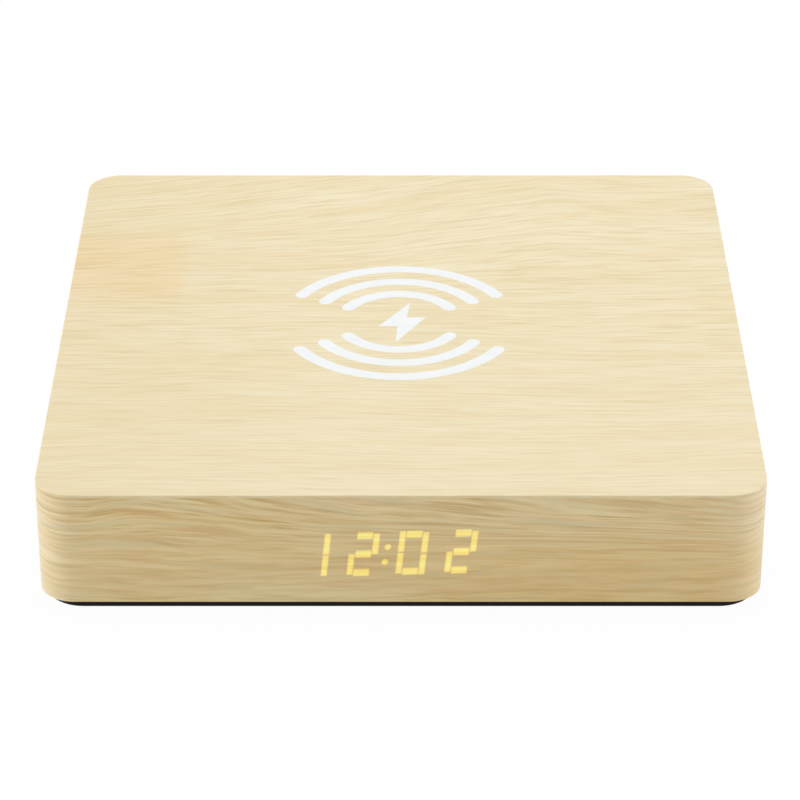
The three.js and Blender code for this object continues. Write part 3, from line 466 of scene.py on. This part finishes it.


# The same sliced and sealed ash, a little glossier than the top. The paler corners are painted sheen in
# its colour.
side_ash, tree = new_material("Ash veneer, satin, sides")
colour, height = side_grain(tree)
surfaced(tree, colour, height, 0.1, 0.2, {"Roughness": 0.42, "Specular IOR Level": 0.5})
print("made", side_ash.name)

# %% [markdown]
# ## Moulded, printed and metal finishes
# Most other surfaces are of one kind: a base colour that varies slightly, with a texture whose
# grit has a real size, as a mould, a press or a kiln leaves it. One function makes them all
# from two colours, the grit's size and depth, and the roughness.

# %% A gritty finish
CLOUDS = 8
METAL = {"Metallic": 1}


def gritty(name, first, second, grit, depth, roughness, others=None):
    """A finish with grit of a size and depth in mm, whose colour varies in wider clouds."""
    made, tree = new_material(name)
    position = add(tree, "ShaderNodeTexCoord").outputs["Object"]
    coarse = {"Vector": position, "Scale": 1 / (CLOUDS * grit * MM), "Detail": 2}
    cloud = add(tree, "ShaderNodeTexNoise", coarse)
    colour = tinted(tree, linear(first), cloud, 0.3, 0.7, second, 1)
    fine = {"Vector": position, "Scale": 1 / (grit * MM), "Detail": 3, "Roughness": 0.6}
    grains = add(tree, "ShaderNodeTexNoise", fine)
    surfaced(tree, colour, grains, depth, 0.6, {"Roughness": roughness, **(others or {})})
    return made


print("gritty finish ready")

# %% [markdown]
# These are the finishes that show from outside.

# %% Finishes of the outer pieces
# Raw edge of a trimmed sheet: cut fibres, so darker and rougher than its face.
cut_edge = gritty("Ash veneer, trimmed edge", "DFCB9C", "E8D8AF", 0.5, 0.03, 0.7)
# Screen-printed white ink: opaque, even, a little glossier than the wood.
ink = gritty("White screen ink", "F3F6F6", "F7FAF9", 0.4, 0.004, 0.4)
# Black ABS from a spark-eroded mould: matt texture, soft highlights. The real pits are a tenth
# of a millimetre apart; they are drawn half a millimetre wide, so that they show from a step away.
soft_sheen = {"Specular IOR Level": 0.14}
black_abs = gritty("Black ABS, fine mould texture", "0C0A09", "141211", 0.5, 0.06, 0.55, soft_sheen)
# The same ABS from a polished mould, for what fingers press.
button_abs = gritty("Black ABS, satin", "0E0D0E", "151415", 0.3, 0.006, 0.4, {"Specular IOR Level": 0.24})
# Pressed rubber: deep black, dull and slightly dusty.
rubber = gritty("Black rubber, pressed", "262626", "333333", 0.5, 0.03, 0.85, {"IOR": 1.52})
# Zinc-plated steel: bright and slightly cloudy.
zinc = gritty("Zinc-plated steel", "B4B7BA", "C6C9CC", 0.25, 0.004, 0.3, METAL)
# Nickel-plated sheet steel: brighter and smoother, with faint drawing marks.
nickel = gritty("Nickel-plated steel", "C9C5BC", "D8D5CE", 0.2, 0.002, 0.2, METAL)
# Gold flash on the socket's contacts.
gold = gritty("Gold flash", "E3B65C", "EBC372", 0.2, 0.001, 0.22, METAL)
# Pad-printed grey signs above the buttons.
pad_ink = gritty("Light grey pad ink", "C4C5C6", "CDCECF", 0.3, 0.003, 0.5)
print("finishes so far:", len(bpy.data.materials))

# %% [markdown]
# Most of the clock's works are sealed inside and show only through the vents. They still get their own
# finishes.

# %% Finishes of the inner pieces
FINISHES = {
    # Fibreboard, pressed and cut: brown, fuzzy where it is milled.
    "core_board": gritty("Fibreboard, milled", "9C7A50", "B08D62", 0.6, 0.08, 0.9),
    # Glass-epoxy board under green solder resist.
    "circuit_board": gritty("Glass-epoxy board, green resist", "0F4A2C", "17603A", 1.2, 0.02, 0.35),
    # Epoxy moulding compound of chips and switches.
    "chip_plastic": gritty("Black epoxy, moulded", "1D1D20", "29292C", 0.2, 0.01, 0.6),
    # White nylon connectors and the display's reflector.
    "white_plastic": gritty("White nylon, moulded", "E6E4DB", "EFEDE6", 0.4, 0.01, 0.45),
    # Frosted polycarbonate film in front of the lights.
    "diffuser": gritty("Frosted polycarbonate film", "F0EBDD", "F6F2E6", 0.1, 0.01, 0.5),
    # Copper wire under its clear enamel.
    "copper": gritty("Enamelled copper", "B0653A", "C27A4A", 0.3, 0.005, 0.3, METAL),
    # Sintered ferrite: dark grey, grainy.
    "ferrite": gritty("Sintered ferrite", "303034", "3E3E42", 0.3, 0.02, 0.7),
    # Woven tape and the flat cable's jacket.
    "tape": gritty("Insulating tape", "DCDACF", "E7E5DB", 0.4, 0.01, 0.6),
    # Fired ceramic of the capacitors.
    "ceramic": gritty("Fired ceramic, tan", "A2824F", "B5955F", 0.3, 0.01, 0.4),
    "black_plastic": black_abs,
    "rubber": rubber,
    "steel": zinc,
    "top_veneer": top_ash,
    "side_veneer": side_ash,
}
for subpart in frame["record"]["subparts"]:
    node = frame["nodes"][subpart["node"]]
    for index in range(len(node.material_slots)):
        node.material_slots[index].material = FINISHES[subpart["material_slot"]]

# %% [markdown]
# ## Helpers for shapes
# `lofted` joins rings of points into a closed solid, which suits sheets, discs and turned
# pieces, and `plate` does so for an upright edge. `around`, `rounded_outline` and `circle` give
# points, and `joined` makes several meshes one.

# %% Helpers that make meshes
def lofted(rings):
    """A closed mesh through rings of equally many points in mm, with a flat face at each end."""
    bm = bmesh.new()
    loops = [[bm.verts.new(Vector(point) * MM) for point in ring] for ring in rings]
    for low, high in zip(loops, loops[1:]):
        for i in range(len(low)):
            j = (i + 1) % len(low)
            bm.faces.new((low[i], low[j], high[j], high[i]))
    bm.faces.new(loops[0])
    bm.faces.new(loops[-1])
    bmesh.ops.recalc_face_normals(bm, faces=bm.faces)
    return drawn_mesh(bm, "lofted")


def plate(outline, low, high, centre=(0, 0)):
    """A flat plate with an upright edge."""
    return lofted([[(px + centre[0], py + centre[1], z) for px, py in outline] for z in (low, high)])


def around(radius, angles, centre=(0, 0)):
    """Points of a circle at some angles."""
    return [(centre[0] + radius * cos(a), centre[1] + radius * sin(a)) for a in angles]


def rounded_outline(width, height, radius, steps=14):
    """Points of a rounded rectangle round the origin, counterclockwise."""
    x, y = width / 2 - radius, height / 2 - radius
    points = []
    for start, centre in ((-90, (x, -y)), (0, (x, y)), (90, (-x, y)), (180, (-x, -y))):
        points += around(radius, [radians(start + 90 * i / steps) for i in range(steps + 1)], centre)
    return points


def circle(radius, sides):
    """Points of a circle round the origin, counterclockwise."""
    return around(radius, [2 * pi * i / sides for i in range(sides)])


def joined(meshes):
    """Several meshes as one."""
    bm = bmesh.new()
    for mesh in meshes:
        bm.from_mesh(mesh)
    return drawn_mesh(bm, "joined")


print("mesh helpers ready")

# %% [markdown]
# `settle` makes a finished mesh into a piece: smooth where it is round, sharp at its edges,
# carried by a body and standing for the CAD nodes that it replaces. Its normals are weighted by
# area, so a broad flat face stays flat beside its rounded edge. `softened` copies a CAD node,
# merges its loose triangles and rounds its sharp edges, as moulded plastic never has a knife edge.

# %% Helpers that finish pieces
SHARP_FROM, ROUNDED_FROM, FLAT_WITHIN = radians(35), radians(40), radians(1)
WELD = 0.002


def settle(name, mesh, body, replaced=(), material=None):
    """Puts a finished mesh in the scene as a piece that rides on a body."""
    if material:
        mesh.materials.clear()
        mesh.materials.append(material)
    mesh.shade_smooth()
    mesh.set_sharp_from_angle(angle=SHARP_FROM)
    helper = in_scene("helper", mesh)
    helper.modifiers.new("broad faces stay flat", "WEIGHTED_NORMAL").keep_sharp = True
    mesh = evaluated(helper)
    mesh.name = name
    piece = in_scene(name, mesh)
    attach(piece, body)
    if replaced:
        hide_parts(*replaced)
    print(name, "has", len(mesh.polygons), "faces")


def softened(node, radius, steps=2):
    """A CAD node's mesh, merged, with its sharp edges rounded to a radius in mm."""
    bm = bmesh.new()
    bm.from_mesh(frame["nodes"][node].data)
    bmesh.ops.remove_doubles(bm, verts=bm.verts, dist=WELD * MM)
    bmesh.ops.dissolve_limit(bm, angle_limit=FLAT_WITHIN, verts=bm.verts, edges=bm.edges)
    helper = in_scene("helper", drawn_mesh(bm, node))
    edge = helper.modifiers.new("rounded", "BEVEL")
    edge.width = radius * MM
    edge.segments = steps
    edge.limit_method = "ANGLE"
    edge.angle_limit = ROUNDED_FROM
    return evaluated(helper)


print("piece helpers ready")

# %% [markdown]
# ## The top sheet
# The top is one flat sheet of veneer over the case's whole face. It is laid last, so its trimmed
# edge shows as a fine line above the side band, and its upper edge is eased by sandpaper. Rings
# of the same outline, drawn in a little at the top, make that eased edge.

# %% Top sheet
EASED, EASED_STEPS = 0.25, 4
# A face whose normal rises less than this is part of the trimmed edge.
EDGE_RISE = 0.3


def case_ring(drawn, z):
    """The case's outline at a height, drawn in by a distance."""
    side = CASE_SIDE - 2 * drawn
    return [(px, py, z) for px, py in rounded_outline(side, side, CORNER_RADIUS - drawn)]


top_rings = [case_ring(0, SEAM_HEIGHT)]
for step in range(EASED_STEPS + 1):
    angle = radians(90 * step / EASED_STEPS)
    top_rings.append(case_ring(EASED * (1 - cos(angle)), WOOD_TOP - EASED * (1 - sin(angle))))
sheet = lofted(top_rings)
sheet.materials.append(top_ash)
sheet.materials.append(cut_edge)
for face in sheet.polygons:
    face.material_index = int(abs(face.normal.z) < EDGE_RISE)
settle("top_sheet", sheet, "case", ["top_veneer"])

# %% [markdown]
# ## The charging mark
# The mark shows where a phone's coil belongs. It is a film of screen-printed white ink, three
# hundredths of a millimetre proud: a bolt between two nests of three arcs with round ends. Each
# arc is drawn from its radius and its span.

# %% Charging mark
MARK_CENTRE = (-0.43, -0.12)
INK_SUNK, INK_PROUD = 0.02, 0.03
ARC_RADII, STROKE = (13.05, 19.1, 25.3), 3
# The directions in which the two nests of arcs lie, and how far an arc spans, in degrees.
ARC_SPANS = {90: 120, -90: 118}
BOLT_HEIGHT = 18.75
# The bolt's corners, as shares of its height.
BOLT = [
    (0.138, 0.481), (-0.246, -0.127), (-0.017, -0.124),
    (-0.041, -0.519), (0.322, 0.102), (0.092, 0.102),
]


def arc_outline(radius, middle, span, steps=40, end_steps=10):
    """The outline of one arc of the mark, with round ends, counterclockwise."""
    start, end = radians(middle - span / 2), radians(middle + span / 2)
    half = STROKE / 2
    turns = [start + (end - start) * i / steps for i in range(steps + 1)]

    def cap(at, first):
        angles = [first + pi * i / end_steps for i in range(1, end_steps)]
        return around(half, angles, (radius * cos(at), radius * sin(at)))

    outer, inner = around(radius + half, turns), around(radius - half, reversed(turns))
    return outer + cap(end, end) + inner + cap(start, start + pi)


outlines = [
    arc_outline(radius, middle, span) for radius in ARC_RADII for middle, span in ARC_SPANS.items()
]
outlines.append([(px * BOLT_HEIGHT, py * BOLT_HEIGHT) for px, py in BOLT])
ink_levels = (WOOD_TOP - INK_SUNK, WOOD_TOP + INK_PROUD)
mark_mesh = joined([plate(outline, *ink_levels, MARK_CENTRE) for outline in outlines])
settle("charging_mark", mark_mesh, "case", material=ink)

# %% [markdown]
# ## The side band
# One long strip of veneer is glued round all four sides, with its butt joint at the back. The
# strip is cut flat, with the opening for the control panel already in it, and then a Geometry
# Nodes tree lays it along the case's outline. That is how the real one is made, and it gives the
# grain its true course round the corners, because each point remembers its place in the flat
# strip. Zero along it is the middle of the display's side.

# %% Helpers for Geometry Nodes
def geometry_tree(name, sockets):
    """Starts a tree with named inputs and returns it with the outputs of its input node."""
    tree = bpy.data.node_groups.new(name, "GeometryNodeTree")
    tree.interface.new_socket("Geometry", in_out="INPUT", socket_type="NodeSocketGeometry")
    for label, kind in sockets.items():
        tree.interface.new_socket(label, in_out="INPUT", socket_type="NodeSocket" + kind)
    tree.interface.new_socket("Geometry", in_out="OUTPUT", socket_type="NodeSocketGeometry")
    return tree, add(tree, "NodeGroupInput").outputs


def end_tree(tree, geometry, material):
    """Ends a tree: real geometry instead of instances, in its finish."""
    real = add(tree, "GeometryNodeRealizeInstances", {"Geometry": geometry})
    dressed = add(tree, "GeometryNodeSetMaterial", {"Geometry": real, "Material": material})
    add(tree, "NodeGroupOutput", {"Geometry": dressed})


def grown(mesh, tree, values):
    """Runs a tree on a mesh, with its inputs set by name, and returns a plain mesh."""
    helper = in_scene("helper", mesh)
    modifier = helper.modifiers.new("tree", "NODES")
    modifier.node_group = tree
    for socket in tree.interface.items_tree:
        if socket.in_out == "INPUT" and socket.name in values:
            modifier[socket.identifier] = values[socket.name]
    return evaluated(helper)


print("Geometry Nodes helpers ready")

# %% [markdown]
# The flat strip is a filled curve with some thickness: its outline and the opening are closed
# lines. It is then cut across wherever the case's outline bends, so that it can bend there too.

# %% The strip, cut flat
JOINT_X = 55
JOINT_GAP = 0.03
OPENING = {"width": 64.6, "height": 13.6, "radius": 2.3, "steps": 8}
STRIP_WELD = 0.001

outline = rounded_outline(CASE_SIDE, CASE_SIDE, CORNER_RADIUS)
half = len(outline) // 2
path_points = [(JOINT_X, CASE_SIDE / 2)] + outline[half:] + outline[:half]
reach = [0.0]
for here, ahead in zip(path_points, path_points[1:] + path_points[:1]):
    reach.append(reach[-1] + (Vector(ahead) - Vector(here)).length)
STRIP_LENGTH = reach[-1]
FRONT_MIDDLE = reach[half] + CASE_SIDE / 2 - CORNER_RADIUS


def closed_splines(curve, outlines):
    """Adds closed polygons, in mm, to a flat curve that is filled between them."""
    for points in outlines:
        spline = curve.splines.new("POLY")
        spline.points.add(len(points) - 1)
        for point, place in zip(spline.points, points):
            point.co = (place[0] * MM, place[1] * MM, 0, 1)
        spline.use_cyclic_u = True


flat = bpy.data.curves.new("flat_strip", "CURVE")
flat.dimensions = "2D"
flat.fill_mode = "BOTH"
flat.extrude = VENEER / 2 * MM
start, end = JOINT_GAP, STRIP_LENGTH - JOINT_GAP
strip_edge = [(start, WOOD_LOW), (end, WOOD_LOW), (end, SEAM_HEIGHT), (start, SEAM_HEIGHT)]
opening = [(px + JOINT_X, pz + PORT_HEIGHT) for px, pz in rounded_outline(**OPENING)]
closed_splines(flat, [strip_edge, opening])
strip = evaluated(in_scene("helper", flat))
strip.transform(Matrix.Translation((0, VENEER / 2 * MM, 0)) @ Matrix.Rotation(pi / 2, 4, "X"))

bm = bmesh.new()
bm.from_mesh(strip)
bmesh.ops.remove_doubles(bm, verts=bm.verts, dist=STRIP_WELD * MM)
for place in reach[1:-1]:
    plane = {"plane_co": (place * MM, 0, 0), "plane_no": (1, 0, 0), "dist": 1e-7}
    bmesh.ops.bisect_plane(bm, geom=bm.verts[:] + bm.edges[:] + bm.faces[:], **plane)
bmesh.ops.recalc_face_normals(bm, faces=bm.faces)
strip = drawn_mesh(bm, "strip")
print("strip is", round(STRIP_LENGTH, 2), "mm long, with", len(strip.polygons), "faces")

# %% [markdown]
# The tree reads each point's X as a distance along the outline, its Y as a depth below the
# surface and its Z as a height. It looks up the place and the heading at that distance, and
# sets the point there, sunk inwards at a right angle to the heading.

# %% The tree that wraps the strip
path_curve = bpy.data.curves.new("outline", "CURVE")
path_curve.dimensions = "3D"
closed_splines(path_curve, [path_points])
path_object = in_scene("helper", path_curve)

wrap, given = geometry_tree(
    "Wrap a strip along an outline", {"Outline": "Object", "Middle": "Float", "Finish": "Material"}
)
part = add(wrap, "ShaderNodeSeparateXYZ", {0: add(wrap, "GeometryNodeInputPosition")}).outputs
from_middle = add(wrap, "ShaderNodeMath", {0: part["X"], 1: given["Middle"]}, operation="SUBTRACT")
flat_place = add(wrap, "ShaderNodeCombineXYZ", {"X": from_middle, "Y": part["Y"], "Z": part["Z"]})
marked = {"Geometry": given["Geometry"], "Name": "grain", "Value": flat_place}
marked = add(wrap, "GeometryNodeStoreNamedAttribute", marked, data_type="FLOAT_VECTOR")
route = add(wrap, "GeometryNodeObjectInfo", {"Object": given["Outline"]}).outputs["Geometry"]
route = {"Curves": route, "Length": part["X"]}
route = add(wrap, "GeometryNodeSampleCurve", route, mode="LENGTH", use_all_curves=True).outputs
heading = add(wrap, "ShaderNodeSeparateXYZ", {0: route["Tangent"]}).outputs
turned = add(wrap, "ShaderNodeMath", {0: heading["Y"], 1: -1}, operation="MULTIPLY")
inward = add(wrap, "ShaderNodeCombineXYZ", {"X": turned, "Y": heading["X"]})
sunk = add(wrap, "ShaderNodeVectorMath", {0: inward, "Scale": part["Y"]}, operation="SCALE")
raised = add(wrap, "ShaderNodeCombineXYZ", {"Z": part["Z"]})
there = add(wrap, "ShaderNodeVectorMath", {0: route["Position"], 1: sunk})
there = add(wrap, "ShaderNodeVectorMath", {0: there, 1: raised})
bent = add(wrap, "GeometryNodeSetPosition", {"Geometry": marked, "Position": there})
end_tree(wrap, bent, given["Finish"])

values = {"Outline": path_object, "Middle": FRONT_MIDDLE * MM, "Finish": side_ash}
band = grown(strip, wrap, values)
bpy.data.objects.remove(path_object)
settle("side_band", band, "case", ["side_veneer"])

# %% [markdown]
# ## The time, lit through the veneer
# The display has no window. Its bars of light shine through the thin veneer, so they look like
# patches of glowing wood with soft orange edges, and the unlit bars can't be seen. The finish is
# the side band's own, with a glow on top: amber where an attribute is 0, at a bar's rim, and
# yellow where it is 1, with the wood's dark lines still faintly in it.

# %% Lit veneer
lit_ash, tree = new_material("Ash veneer, lit from behind")
colour, height = side_grain(tree)
middle = add(tree, "ShaderNodeAttribute", attribute_name="glow").outputs["Fac"]
glow = tinted(tree, linear("5E4A0C"), middle, 0, 1, "A9A122", 1)
glow = tinted(tree, glow, height, 0.6, 0.4, "8A7A22", 0.25)
lit = {"Base Color": colour, "Emission Color": glow, "Emission Strength": 1.0, "Roughness": 0.42}
lit = add(tree, "ShaderNodeBsdfPrincipled", lit)
add(tree, "ShaderNodeOutputMaterial", {"Surface": lit})
print("made", lit_ash.name)

# %% [markdown]
# ## The bars and dots
# Each lit bar is a very thin plate on the veneer. Its rim has no glow and its middle has all of
# it, so the light fades at its edge as it does in wood. A digit is a list of letters, each of
# which names a bar's size and place.

# %% Lit bars
# From digit to digit, from column to column, a digit's height and a bar's width.
PITCH, COLUMN, DIGIT, BAR = 10.05, 4.75, 10.16, 1.28
# The gap between bars, how much lower the right column stands, and how far light spreads.
GAP, FALL, SPREAD = 0.25, 0.37, 0.3
# The width of the fading rim, and how far a plate stands out of the wood and reaches into it.
RIM, PROUD, SUNK = 0.32, 0.02, 0.02
FLAT = (COLUMN - BAR - 2 * GAP + 1.5 * SPREAD, BAR + 2 * SPREAD)
UPRIGHT = (BAR + SPREAD / 2, (DIGIT - GAP + SPREAD) / 2)
DOT = (1.5, 1.55)
side_x, high_z, side_z = COLUMN / 2, (DIGIT - BAR) / 2, (DIGIT + GAP) / 4
SEGMENTS = {
    "a": (FLAT, 0, high_z), "g": (FLAT, 0, 0), "d": (FLAT, 0, -high_z),
    "f": (UPRIGHT, -side_x, side_z + FALL / 2), "e": (UPRIGHT, -side_x, FALL / 2 - side_z),
    "b": (UPRIGHT, side_x, side_z - FALL / 2), "c": (UPRIGHT, side_x, -side_z - FALL / 2),
}
ONE, TWO, ZERO = "bc", "abged", "abcdef"
TIME = [ONE, TWO, ZERO, TWO]
LIGHTS = {FLAT: [], UPRIGHT: [], DOT: [(-0.39, 0, -2.0), (-0.14, 0, 1.54)]}
for index, digit in enumerate(TIME):
    digit_x = (index - (len(TIME) - 1) / 2) * PITCH
    # A one has only its right column, and that doesn't stand lower.
    lifted = FALL / 2 if digit == ONE else 0
    for name in digit:
        size, px, pz = SEGMENTS[name]
        LIGHTS[size].append((px + digit_x, 0, pz + lifted))


def light_outline(size, drawn):
    """The outline of a bar or a round dot, drawn in by a distance."""
    width, tall = (side - 2 * drawn for side in size)
    roundness = 0.5 if size == DOT else 0.15
    return rounded_outline(width, tall, roundness * min(width, tall), 5)


def lit_plate(size):
    """A thin plate on the front whose rim has no glow and whose middle has all of it."""
    levels = ((0, SUNK), (0, 0), (RIM, -PROUD))
    mesh = lofted([[(px, y, pz) for px, pz in light_outline(size, drawn)] for drawn, y in levels])
    share = mesh.attributes.new("glow", "FLOAT", "POINT")
    for index, vertex in enumerate(mesh.vertices):
        share.data[index].value = float(vertex.co.y < -PROUD * MM / 2)
    return mesh


print("bars and dots:", sum(len(places) for places in LIGHTS.values()))

# %% [markdown]
# The bars stand on their grid at first. Then the whole time leans, as digits do, and turns a
# little, because the real module is glued in slightly askew. A tree applies that rule to bars
# instanced on points, and marks each with its place on the front, so the wood's grain runs on.

# %% The time
DISPLAY_CENTRE = (-2.7, FRONT, 14.63)
# In degrees.
TILT, LEAN = -1.8, 7.6


def on_points(tree, given, **turned):
    """Adds an instance of the part on each point."""
    part = add(tree, "GeometryNodeObjectInfo", {"Object": given["Part"]}).outputs["Geometry"]
    instances = {"Points": given["Geometry"], "Instance": part, **turned}
    return add(tree, "GeometryNodeInstanceOnPoints", instances)


def instanced(tree, points, part_mesh, values):
    """Runs such a tree: one mesh with a copy of the part on each point, given in mm."""
    mesh = bpy.data.meshes.new("points")
    mesh.from_pydata([Vector(point) * MM for point in points], [], [])
    part = in_scene("part", part_mesh)
    result = grown(mesh, tree, {"Part": part, **values})
    bpy.data.objects.remove(part)
    return result


lean, given = geometry_tree(
    "Leaning lights",
    {"Part": "Object", "Lean": "Float", "Tilt": "Float", "Centre": "Vector", "Finish": "Material"},
)
real = add(lean, "GeometryNodeRealizeInstances", {"Geometry": on_points(lean, given)})
place = add(lean, "GeometryNodeInputPosition")
height = add(lean, "ShaderNodeSeparateXYZ", {0: place}).outputs["Z"]
slide = add(lean, "ShaderNodeMath", {0: height, 1: given["Lean"]}, operation="MULTIPLY")
offset = add(lean, "ShaderNodeCombineXYZ", {"X": slide})
leaned = add(lean, "GeometryNodeSetPosition", {"Geometry": real, "Offset": offset})
turn = add(lean, "ShaderNodeCombineXYZ", {"Y": given["Tilt"]})
moved = {"Geometry": leaned, "Translation": given["Centre"], "Rotation": turn}
moved = add(lean, "GeometryNodeTransform", moved)
marked = {"Geometry": moved, "Name": "grain", "Value": place}
marked = add(lean, "GeometryNodeStoreNamedAttribute", marked, data_type="FLOAT_VECTOR")
end_tree(lean, marked, given["Finish"])

values = {"Lean": tan(radians(LEAN)), "Tilt": radians(TILT), "Finish": lit_ash}
values["Centre"] = Vector(DISPLAY_CENTRE) * MM
lights = [instanced(lean, places, lit_plate(size), values) for size, places in LIGHTS.items()]
settle("lit_time", joined(lights), "case", material=lit_ash)

# %% [markdown]
# ## Base, battery cap and control panel
# These are injection-moulded in black ABS. The CAD shapes are right, so each is a copy with its
# sharp edges rounded to the few tenths of a millimetre that a mould gives.

# %% Moulded pieces
# Each piece's CAD node, the radius of its edges and its steps, its body and its finish.
MOULDED = {
    "base_shell": ("base_plate", 0.15, 2, "case", black_abs),
    "cell_cap": ("battery_cap", 0.2, 2, "cap", button_abs),
    "back_panel": ("control_panel", 0.2, 2, "case", black_abs),
}
for name in BUTTON_PLACES:
    MOULDED[name + "_key_cap"] = (name + "_button", 0.3, 3, name + "_key", button_abs)
for name, (node, radius, steps, body, finish) in MOULDED.items():
    settle(name, softened(node, radius, steps), body, [node], finish)

# %% [markdown]
# ## Feet, screws and contacts
# Four equal feet, four equal screws and two rows of contacts are instances of one part each, set
# on points by one tree. The screws' crosses point in different directions, as a power driver
# leaves them, so the tree turns each at random, from a fixed seed.

# %% The tree that repeats a part
SEED = 4

repeat, given = geometry_tree(
    "Repeat a part on points",
    {"Part": "Object", "Most turn": "Float", "Seed": "Int", "Finish": "Material"},
)
most = add(repeat, "ShaderNodeCombineXYZ", {"Z": given["Most turn"]})
turn = {"Min": (0, 0, 0), "Max": most, "Seed": given["Seed"]}
turn = add(repeat, "FunctionNodeRandomValue", turn, data_type="FLOAT_VECTOR")
end_tree(repeat, on_points(repeat, given, Rotation=turn), given["Finish"])


def repeated(points, part, finish, most_turn=0.0):
    """One mesh with a copy of the part on each point, turned by a random angle."""
    return instanced(repeat, points, part, {"Most turn": most_turn, "Seed": SEED, "Finish": finish})


def turned_part(profile, sides):
    """A solid of revolution round Z from (radius, height) points in mm."""
    return lofted([[(px, py, z) for px, py in circle(radius, sides)] for radius, z in profile])


def four_corners(place):
    """The corners of a square round the origin."""
    return [(px, py, 0) for px in (-place, place) for py in (-place, place)]


print("repeat tree ready")

# %% [markdown]
# The feet are pressed rubber discs. Each is a turned shape: a slightly hollow face that grips the
# table, a rounded rim and a straight side.

# %% Rubber feet
FOOT_PLACE, FOOT_SIDES = 55, 40
FOOT_PROFILE = [
    (3.2, 0.18), (4.3, 0.16), (4.6, 0.0), (5.45, 0.0), (5.68, 0.04), (5.87, 0.14), (5.97, 0.3),
    (6.0, 0.5), (6.0, 1.7),
]
feet = repeated(four_corners(FOOT_PLACE), turned_part(FOOT_PROFILE, FOOT_SIDES), rubber)
settle("rubber_feet", feet, "case", [f"rubber_foot_{i}" for i in range(1, 5)])

# %% [markdown]
# The base screws are pan-headed and zinc-plated. The head and shank are turned, and two tapered
# bars cut the cross into the head, as the punch does in a real one.

# %% Base screws
SCREW_PLACE, SCREW_SIDES = 63, 32
HEAD_LOW, HEAD_SEAT, SCREW_TIP = 1.1, 2.2, 11.2
SCREW_PROFILE = [
    (0.5, HEAD_LOW), (1.2, HEAD_LOW + 0.03), (1.75, HEAD_LOW + 0.18), (2.08, HEAD_LOW + 0.46),
    (2.2, HEAD_LOW + 0.8), (2.2, HEAD_SEAT), (1.1, HEAD_SEAT), (1.1, SCREW_TIP - 1.2),
    (0.15, SCREW_TIP),
]
# Half the length and half the width of a bar of the cross, its two ends, and its taper.
ARM, BLADE, CROSS_LOW, CROSS_HIGH, TAPER = 1.25, 0.3, 0.9, 1.85, 0.72


def crossed(mesh):
    """Cuts a cross recess into the underside of a screw's head."""
    head = in_scene("helper", mesh)
    cutters = []
    for across, along in ((ARM, BLADE), (BLADE, ARM)):
        wing = [
            [(sx * across * s, sy * along * s, z) for sx, sy in ((-1, -1), (1, -1), (1, 1), (-1, 1))]
            for s, z in ((1.0, CROSS_LOW), (TAPER, CROSS_HIGH))
        ]
        cutters.append(in_scene("cutter", lofted(wing)))
        cut = head.modifiers.new("cross", "BOOLEAN")
        cut.operation = "DIFFERENCE"
        cut.object = cutters[-1]
    result = evaluated(head)
    for cutter in cutters:
        bpy.data.objects.remove(cutter)
    return result


screw = crossed(turned_part(SCREW_PROFILE, SCREW_SIDES))
screws = repeated(four_corners(SCREW_PLACE), screw, zinc, pi)
settle("base_screws", screws, "case", [f"base_screw_{i}" for i in range(1, 5)])

# %% [markdown]
# ## The socket
# The socket is a drawn and nickel-plated shell with a plastic tongue. The tongue carries a row
# of gold-flashed contacts on each side, half a millimetre apart. Each reaches through the tongue
# and stands a little proud of both faces.

# %% Socket
CONTACTS, CONTACT_PITCH, CONTACT_Y = 12, 0.5, 71.7
CONTACT = {"width": 0.26, "height": 3.0, "radius": 0.08, "steps": 2}
CONTACT_HALF = 0.37

settle("socket_shell", softened("usb_shell", 0.08), "case", ["usb_shell"], nickel)
epoxy = FINISHES["chip_plastic"]
settle("socket_tongue", softened("usb_tongue", 0.1), "case", ["usb_tongue"], epoxy)
contact = plate(rounded_outline(**CONTACT), -CONTACT_HALF, CONTACT_HALF)
contact_points = [
    (PORT_X + (i - (CONTACTS - 1) / 2) * CONTACT_PITCH, CONTACT_Y, PORT_HEIGHT)
    for i in range(CONTACTS)
]
settle("socket_contacts", repeated(contact_points, contact, gold), "case")

# %% [markdown]
# ## Signs above the buttons
# Each button has a small pad-printed sign above it, of a generic kind: a dot for setting, and
# triangles for up and down.

# %% Button signs
SIGN_HEIGHT = PORT_HEIGHT + 4.9
SIGN_LEVELS = (PANEL_FACE - 0.02, PANEL_FACE + 0.01)
SIGNS = {
    "set": circle(0.5, 20),
    "up": [(-0.75, -0.5), (0.75, -0.5), (0, 0.7)],
    "down": [(-0.75, 0.5), (0, -0.7), (0.75, 0.5)],
}


def sign(shape, px):
    """A printed sign on the panel's face, from points seen from the back."""
    return lofted([[(px + sx, y, sz + SIGN_HEIGHT) for sx, sz in shape] for y in SIGN_LEVELS])


sign_mesh = joined([sign(SIGNS[name], px) for name, px in BUTTON_PLACES.items()])
settle("button_signs", sign_mesh, "case", material=pad_ink)

# %% [markdown]
# ## Bring the scene up to date
# Dressing a model must not change its size. The last cell brings the scene up to date.

# %% Finish
bpy.context.view_layer.update()
